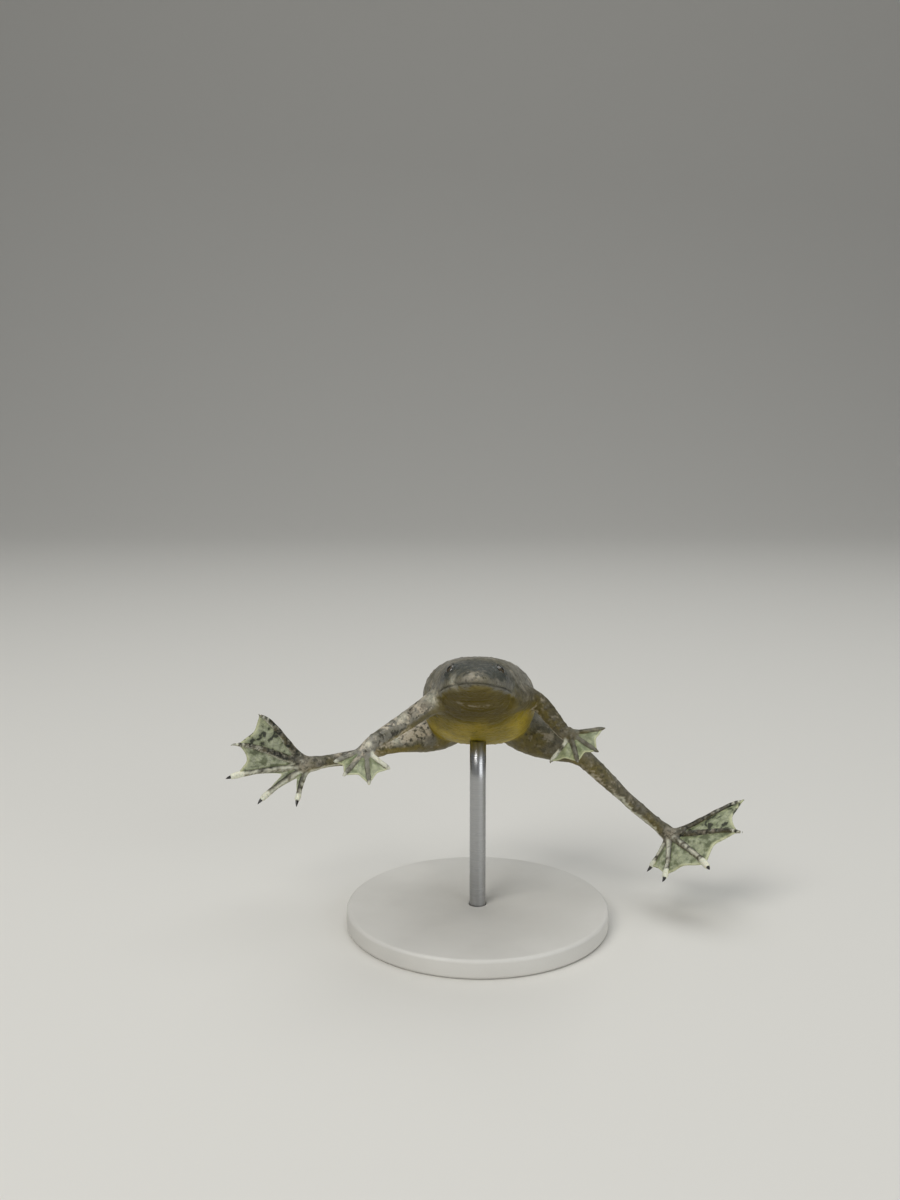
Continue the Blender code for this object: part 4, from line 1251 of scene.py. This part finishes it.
@dataclass
class Web:
    """The web between the digits of one hand or foot: a thin closed sheet, thicker at its free rim."""

    limb: Limb
    spotted: tuple
    shaded: tuple
    half_thickness: float = 0.055
    columns: int = 22
    rows: int = 34

    def build(self, name: str, material: bpy.types.Material) -> bpy.types.Object:
        """Lanes run out between each two digits, to a reach notched as a power of a sine, with ripples."""
        lanes, spans, digits = [], [], len(self.limb.lines) - 1
        for k in range(digits):
            pair = self.limb.lines[k], self.limb.lines[k + 1]
            share = np.linspace(0, 1, self.columns + 1)[: None if k == digits - 1 else -1]
            reach = self.limb.reaches[k] * (1 - share) + self.limb.reaches[k + 1] * share
            reach = reach * (1 - self.limb.notches[k] * np.sin(math.pi * share) ** 0.8)
            at = 0.04 + (reach[:, None] - 0.04) * np.linspace(0, 1, self.rows)[None, :]
            spots = []
            for path in pair:
                place = np.linspace(0, 1, len(path))
                spots.append(np.stack([np.interp(at, place, path[:, m]) for m in range(3)], axis=2))
            lanes.append(spots[0] * (1 - share[:, None, None]) + spots[1] * share[:, None, None])
            spans.append(np.stack([np.full(len(share), float(k)), share], axis=1))
        middle = np.concatenate(lanes)
        spans = np.concatenate(spans)
        slope = np.cross(np.gradient(middle, axis=0), np.gradient(middle, axis=1))
        slope[:, 0] = slope[:, 1]
        slope = unit(slope)
        slope *= np.sign(slope @ self.limb.normal)[..., None]
        out = np.linspace(0, 1, self.rows)[None, :]
        between = np.sin(math.pi * spans[:, 1])[:, None]
        broad = 0.16 * np.sin(3 * math.pi * spans[:, 1])[:, None]
        ripple = between * out * (broad + 0.10 * np.sin(9 * out + 2 * spans[:, :1]))
        middle = middle + slope * (ripple - 0.22 * between * np.sin(math.pi * out))[..., None]
        thick = self.half_thickness * (1 + 0.9 * bell(out - 0.975, 0.03) + 0 * between)
        wide, deep = middle.shape[:2]
        offset = slope * thick[..., None]
        points = np.vstack([(middle + offset).reshape(-1, 3), (middle - offset).reshape(-1, 3)])
        top = grid_faces(wide, deep, False)
        base = wide * deep
        rim = [i * deep for i in range(wide)]
        rim += [(wide - 1) * deep + j for j in range(1, deep)]
        rim += [i * deep + deep - 1 for i in range(wide - 2, -1, -1)]
        rim += list(range(deep - 2, 0, -1))
        faces = top.tolist() + (top[:, ::-1] + base).tolist()
        faces += [(a, base + a, base + b, b) for a, b in zip(rim, rim[1:] + rim[:1])]
        obj = add_mesh(name, points, faces, material)
        amount = np.array(self.spotted)[spans[:, 0].astype(int)][:, None] + 0 * out
        near_rim = smooth_step(out, 0.93, 0.985) + 0 * between
        near_root = (1 - smooth_step(out, 0.0, 0.35)) + 0 * between
        shaded = np.array(self.shaded)
        first, second = shaded[spans[:, 0].astype(int)], shaded[spans[:, 0].astype(int) + 1]
        edge = np.maximum(first * bell(spans[:, 1], 0.22), second * bell(1 - spans[:, 1], 0.22))
        near_root = np.maximum(near_root, edge[:, None] * (1 - 0.6 * out))
        for key, values in (("spotted", amount), ("rim", near_rim), ("root", near_root)):
            mark(obj.data, key, np.tile(values.reshape(-1), 2))
        return obj


@dataclass
class Claw:
    """A pointed claw: a shrinking circle carried along the digit's last stretch, hooked to the sole."""

    limb: Limb
    number: int
    radius: float = 0.29
    hook: float = 0.22

    def build(self, name: str, material: bpy.types.Material) -> bpy.types.Object:
        """Radius falls as (1 - t^1.5)^0.8 from the root in the flesh to the point."""
        line = self.limb.lines[self.number]
        total = np.linalg.norm(np.diff(line, axis=0), axis=1).sum()
        share = 1 - (self.limb.claw_length + 0.12) / total
        at = np.linspace(share, 0.998, 26)
        place = np.linspace(0, 1, len(line))
        spine = np.stack([np.interp(at, place, line[:, k]) for k in range(3)], axis=1)
        t = np.linspace(0, 1, 26)
        spine = spine - self.limb.normal * (self.hook * t**2)[:, None]
        size = np.maximum(self.radius * (1 - t**1.5) ** 0.8, 0.012)
        tube = Tube(spine, size, size * 0.9, self.limb.normal)
        points, faces = closed_rings(tube.rings(20, 1))
        obj = add_mesh(name, points, faces, material)
        lead = np.concatenate([np.repeat(t, 20), [0.0, 1.0]])
        mark(obj.data, "lead", lead)
        return obj


@dataclass
class Eyeball:
    """One eyeball, its poles on the axis along which it looks."""

    frog: Frog
    side: Side
    rows: int = 40
    columns: int = 56

    def build(self, name: str, material: bpy.types.Material) -> bpy.types.Object:
        """A sphere whose front rises into the cornea: radius times 1 + 0.035 exp(-(angle / 0.55)^2)."""
        eye = self.frog.eye
        ahead, upward, look = eye.axes(self.side)
        angle = np.linspace(0.02, math.pi - 0.02, self.rows)[:, None]
        turn = np.linspace(0, 2 * math.pi, self.columns, endpoint=False)[None, :]
        radius = eye.radius * (1 + 0.035 * bell(angle, 0.55))
        ring = ahead * np.cos(turn)[..., None] + upward * np.sin(turn)[..., None]
        rings = radius[..., None] * (np.cos(angle)[..., None] * look + np.sin(angle)[..., None] * ring)
        world = self.frog.place.to_world((rings + eye.middle(self.side)).reshape(-1, 3)).reshape(rings.shape)
        points, faces = closed_rings(world)
        obj = add_mesh(name, points, faces, material)
        off = np.concatenate([np.repeat(angle[:, 0], self.columns), [0.0, math.pi]])
        mark(obj.data, "off_axis", off)
        return obj


@dataclass
class Stand:
    """A round moulded foot with an upright steel rod that ends in the belly."""

    frog: Frog
    radius: float = 18.0
    thickness: float = 2.6
    rounding: float = 0.5
    rod_radius: float = 1.1
    rod_sink: float = 1.4
    gap: float = 0.3

    def build_base(self, name: str, material: bpy.types.Material) -> bpy.types.Object:
        """A profile turned round the axis: underside, rounded edges, top and the blind hole for the rod."""
        turn = np.linspace(0, math.pi / 2, 7)
        sine, cosine = self.rounding * (1 - np.sin(turn)), self.rounding * (1 - np.cos(turn))
        low = np.stack([self.radius - sine, cosine], axis=1)
        high = np.stack([self.radius - cosine, self.thickness - sine], axis=1)
        hole = self.rod_radius + 0.06
        inner = [(hole + 0.25, self.thickness), (hole + 0.08, self.thickness - 0.06)]
        inner.append((hole, self.thickness - 0.25))
        profile = [(6.0, 0.0), *low, *high, (12.0, self.thickness), (5.0, self.thickness), *inner]
        profile.append((hole, self.thickness - self.rod_sink - self.gap))
        around = np.linspace(0, 2 * math.pi, 120, endpoint=False)
        circle = np.stack([np.cos(around), np.sin(around), 0 * around], axis=1)
        rings = np.array([circle * radius + (0, 0, level) for radius, level in profile])
        points, faces = closed_rings(rings)
        return add_mesh(name, points, faces, material)

    def build_rod(self, name: str, material: bpy.types.Material) -> bpy.types.Object:
        """A straight tube from the hole in the foot to a little way into the belly."""
        top = self.frog.place.belly_height - 0.25
        levels = np.array([self.thickness - self.rod_sink, self.thickness, 8.0, 14.0, 20.0, top])
        around = np.linspace(0, 2 * math.pi, 48, endpoint=False)
        circle = np.stack([np.cos(around), np.sin(around), 0 * around], axis=1) * self.rod_radius
        points, faces = closed_rings(np.array([circle + (0, 0, level) for level in levels]))
        return add_mesh(name, points, faces, material)


@dataclass
class Studio:
    """Camera at the photograph's viewing angle, a pale sweep and soft lights."""

    eye: tuple = (-3.787, -162.472, 70.661)
    pitch: float = 9.0
    lens: float = 37.2
    floor: str = "#dad8d2"

    def add_camera(self) -> None:
        """A camera that looks along +Y and a little down. Its long side carries the 36 mm sensor."""
        data = bpy.data.cameras.new("camera")
        data.lens = self.lens
        data.sensor_width = 36.0
        data.clip_start, data.clip_end = 0.005, 20.0
        camera = bpy.data.objects.new("camera", data)
        camera.location = Vector(self.eye) * MM
        camera.rotation_euler = (math.radians(90 - self.pitch), 0, 0)
        bpy.context.scene.collection.objects.link(camera)
        bpy.context.scene.camera = camera

    def add_floor(self) -> None:
        """A sheet that runs flat under the model and bends up behind it in a quarter circle."""
        flat = [(y, 0.0) for y in np.linspace(-1500, 500, 9)]
        bend = [(500 + 500 * math.sin(a), 500 - 500 * math.cos(a)) for a in np.linspace(0.1, math.pi / 2, 14)]
        profile = np.array([*flat, *bend, (1000, 1600)])
        across = np.linspace(-1800, 1800, 5)
        grid = np.array([[(x, y, z) for x in across] for y, z in profile])
        material, _, shader = new_material("paper_sweep")
        shader.inputs["Base Color"].default_value = linear(self.floor)
        shader.inputs["Roughness"].default_value = 0.85
        faces = grid_faces(len(profile), 5, False).tolist()
        sweep = add_mesh("studio_floor", grid.reshape(-1, 3), faces, material)
        if sweep.data.polygons[0].normal.z < 0:
            sweep.data.flip_normals()

    def add_light(self, name: str, place: tuple, size: float, power: float, colour: tuple) -> None:
        """A square area light, in millimetres from the origin, that faces the frog."""
        data = bpy.data.lights.new(name, "AREA")
        data.size = size * MM
        data.energy = power
        data.color = colour
        light = bpy.data.objects.new(name, data)
        light.location = Vector(place) * MM
        light.rotation_euler = (Vector((0, 0, 28)) - Vector(place)).to_track_quat("-Z", "Y").to_euler()
        bpy.context.scene.collection.objects.link(light)

    def build(self) -> None:
        """Sets the whole studio up."""
        self.add_camera()
        self.add_floor()
        self.add_light("key", (-260, -300, 460), 320, 1.8, (1.0, 0.985, 0.96))
        self.add_light("top", (60, 160, 520), 420, 1.15, (0.97, 0.99, 1.0))
        self.add_light("fill", (380, -420, 170), 420, 1.25, (0.96, 0.98, 1.0))
        world = bpy.data.worlds.new("studio")
        world.use_nodes = True
        world.node_tree.nodes["Background"].inputs[0].default_value = (0.86, 0.88, 0.9, 1.0)
        world.node_tree.nodes["Background"].inputs[1].default_value = 0.22
        bpy.context.scene.world = world
        bpy.context.scene.view_settings.view_transform = "Standard"


# Pale blotches on arms, thigh and knee: world place and radius
PALE_SPOTS = (
    (-6.1, -7.24, 33.34, 1.0),
    (-3.1, -13.1, 36.8, 0.75),
    (-9.99, -6.48, 30.51, 0.65),
    (-14.1, -11.27, 28.38, 0.5),
    (-11.2, 2.61, 25.06, 0.6),
    (12.46, -9.64, 25.29, 0.5),
)

# In body axes: the pale fold across the throat, the nose's painted highlight and the left cheek's painted
# shade
THROAT_LINE = ((-2.1, 6.0, -2.2), (-0.3, 6.4, -2.5), (1.7, 6.5, -2.35))
NOSE_MIDDLE = (0.0, 0.5, 0.4)
SHADED_CHEEK = (3.6, 5.0, 0.5)

# Folds drawn once for the frog's left side, in body axes: line, depth and width. Those that cross the
# middle are drawn whole.
MIDDLE_FOLDS = (
    (((-2.5, 5.6, -1.7), (-0.6, 5.0, -2.0), (2.3, 5.1, -1.7)), 0.08, 0.24),
    (((-1.9, 7.1, -2.5), (0.5, 7.6, -2.9), (2.9, 7.3, -2.4)), 0.09, 0.26),
    (((-3.9, 9.9, -2.8), (-1.8, 11.0, -3.8), (0.9, 11.2, -4.0)), 0.08, 0.36),
    (((1.4, 12.4, -4.4), (3.0, 12.2, -3.9), (4.4, 11.4, -2.9)), 0.08, 0.36),
)
SIDE_FOLDS = (
    (((4.7, 7.3, -0.9), (4.6, 8.3, -1.9), (3.9, 9.3, -2.7)), 0.14, 0.26),
    (((4.6, 7.2, 1.9), (5.0, 8.6, 0.9), (5.1, 9.3, -0.1)), 0.12, 0.28),
    (((6.2, 12.6, 1.2), (6.2, 13.0, -0.8), (5.5, 13.4, -2.6), (4.6, 13.6, -3.4)), 0.20, 0.34),
    (((6.9, 15.6, 1.8), (7.1, 16.4, -0.4), (6.6, 16.8, -2.4)), 0.10, 0.36),
    (((7.4, 18.4, 2.2), (7.6, 19.2, -0.4), (7.1, 19.6, -2.8)), 0.08, 0.40),
    (((7.0, 22.6, 2.6), (7.4, 23.6, 0.2), (7.0, 24.4, -2.4)), 0.10, 0.40),
    (((5.8, 25.6, -2.0), (5.2, 26.4, -3.4), (4.0, 27.2, -4.3)), 0.15, 0.34),
)

ARM_RADII = ((0.0, 1.55), (0.2, 1.35), (0.5, 1.15), (0.62, 1.12), (0.8, 0.98), (1.0, 0.78))
LEG_RADII = (
    (0.0, 1.1), (0.02, 1.8), (0.05, 2.25), (0.12, 2.5), (0.20, 2.35), (0.29, 1.85), (0.36, 1.45),
    (0.41, 1.3), (0.50, 1.25), (0.58, 1.15), (0.69, 0.95), (0.79, 0.95), (0.87, 0.86), (1.0, 1.0),
)
FINGERS = (Digit(4.8, 0.40, 0.27), Digit(6.2, 0.44, 0.27), Digit(6.4, 0.44, 0.27), Digit(6.1, 0.42, 0.27))
TOES = (
    Digit(7.2, 0.46, 0.36, 0.0, True),
    Digit(10.3, 0.55, 0.38, 0.3, True),
    Digit(13.2, 0.60, 0.40, 0.35, True),
    Digit(13.6, 0.66, 0.27, 0.7),
    Digit(12.6, 0.62, 0.27, 0.9),
)


def arm(side: Side, segments: tuple, headings: tuple, blush: float, shade: float, white_finger: int) -> Limb:
    """An arm with the sizes that both share."""
    return Limb(
        side, End.HAND, (4.6, 10.5, -0.9), segments, (6.5, 6.2, 1.6), (2.0, 0.9), ARM_RADII, FINGERS,
        headings, (0.90,) * 4, (0.14,) * 3, 1.0, blush, shade, white_finger,
    )


def leg(side: Side, hip: tuple, segments: tuple, headings: tuple, notches: tuple, looks: tuple) -> Limb:
    """A leg with the sizes that both share. Its looks are its thigh's fullness, its blush and its painted
    shade.
    """
    return Limb(
        side, End.FOOT, hip, segments, (12.8, 12.5, 6.5, 2.0), (2.3, 1.7, 1.6), LEG_RADII, TOES,
        headings, (0.80, 0.84, 0.86, 0.90, 0.97), notches, *looks,
    )


def posed_frog() -> Frog:
    """The frog in the photograph's pose, its limbs settled."""
    frog = Frog()
    frog.limbs = [
        arm(
            Side.RIGHT,
            ((172.0, -36.0), (-126.5, -11.0)),
            ((-46.0, -34.5), (-90.0, -46.5), (-128.0, -30.0), (-143.0, -14.5)),
            0.30,
            0.0,
            0,
        ),
        arm(
            Side.LEFT,
            ((58.0, -10.0), (-42.0, -40.5)),
            ((-133.0, -49.5), (-74.5, -27.0), (-46.5, -13.5), (-26.5, 12.5)),
            0.0,
            # Painted shade on the frog's left arm
            0.6,
            0,
        ),
        leg(
            Side.RIGHT,
            (3.2, 30.0, -2.7),
            ((-137.5, 0.0), (121.5, -22.5), (-137.5, 4.0)),
            ((-119.0, -44.0), (-148.0, -26.0), (-157.5, -3.5), (-150.0, 19.0), (-142.0, 43.0)),
            (0.62, 0.55, 0.14, 0.09),
            (1.0, 0.75, 0.10),
        ),
        leg(
            Side.LEFT,
            (3.2, 30.0, -1.5),
            ((-32.0, -14.5), (26.0, -43.5), (5.5, -40.5)),
            ((-125.0, -37.5), (-101.5, -23.5), (-73.0, -4.5), (-46.5, 13.5), (-16.5, 28.0)),
            (0.04, 0.08, 0.15, 0.13),
            # The left leg carries painted shade of 0.35
            (1.28, 0.0, 0.35),
        ),
    ]
    for limb in frog.limbs:
        limb.settle(frog.place)
    frog.folds = tuple(body_folds() + [fold for limb in frog.limbs for fold in limb.creases(frog.place)])
    return frog


def body_folds() -> list[Fold]:
    """The folds of head and trunk, those of the sides on both."""
    folds = [Fold(line, depth, width) for line, depth, width in MIDDLE_FOLDS]
    for side in Side:
        for line, depth, width in SIDE_FOLDS:
            folds.append(Fold(tuple((x * side.sign, y, z) for x, y, z in line), depth, width))
    return folds


def main() -> None:
    """Loads the frame, builds every piece and reports it."""
    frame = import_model()
    logging.basicConfig(level=logging.INFO, format="%(message)s")
    studio = Studio()
    studio.build()
    frog = posed_frog()
    skin = Skin(frog).build(MoistSkin().make())
    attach(skin, "root")
    flesh = [name for name in frame["nodes"] if not name.startswith(("stand_", "eye_", "claw_"))]
    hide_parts(*flesh)
    LOG.info("skin: %d faces", len(skin.data.polygons))
    membrane = WebMembrane().make()
    horn = Keratin().make()
    for limb in frog.limbs:
        word = f"{limb.end.value}_{limb.side.value}"
        foot = limb.end is End.FOOT
        spotted = (0.35, 0.35, 0.45, 0.95) if foot else (0.25, 0.25, 0.25)
        # Painted shade: the web of a shaded hand is darker by its limb's shade
        dim = 0.6 * limb.shade
        shaded = (0.0, 0.0, 0.1, 0.7, 0.9) if foot else (0.1 + dim, 0.2 + dim, 0.2 + dim, 0.2 + dim)
        web = Web(limb, spotted, shaded).build(f"web_{word}", membrane)
        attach(web, "root")
        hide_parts(word)
        LOG.info("web: %s", word)
        for number, digit in enumerate(limb.digits):
            if digit.clawed:
                claw = Claw(limb, number).build(f"horn_{limb.side.value}_{number + 1}", horn)
                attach(claw, "root")
                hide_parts(f"claw_{limb.side.value}_{number + 1}")
    wet = WetEye().make()
    for side in Side:
        ball = Eyeball(frog, side).build(f"eyeball_{side.value}", wet)
        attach(ball, "root")
        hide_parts(f"eye_{side.value}")
    stand = Stand(frog)
    base = stand.build_base("moulded_foot", MattePlastic().make())
    rod = stand.build_rod("steel_rod", BrushedSteel().make())
    for piece, node in ((base, "stand_base"), (rod, "stand_rod")):
        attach(piece, "root")
        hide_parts(node)
    LOG.info("claws, eyes and stand done")


if __name__ == "__main__":
    main()
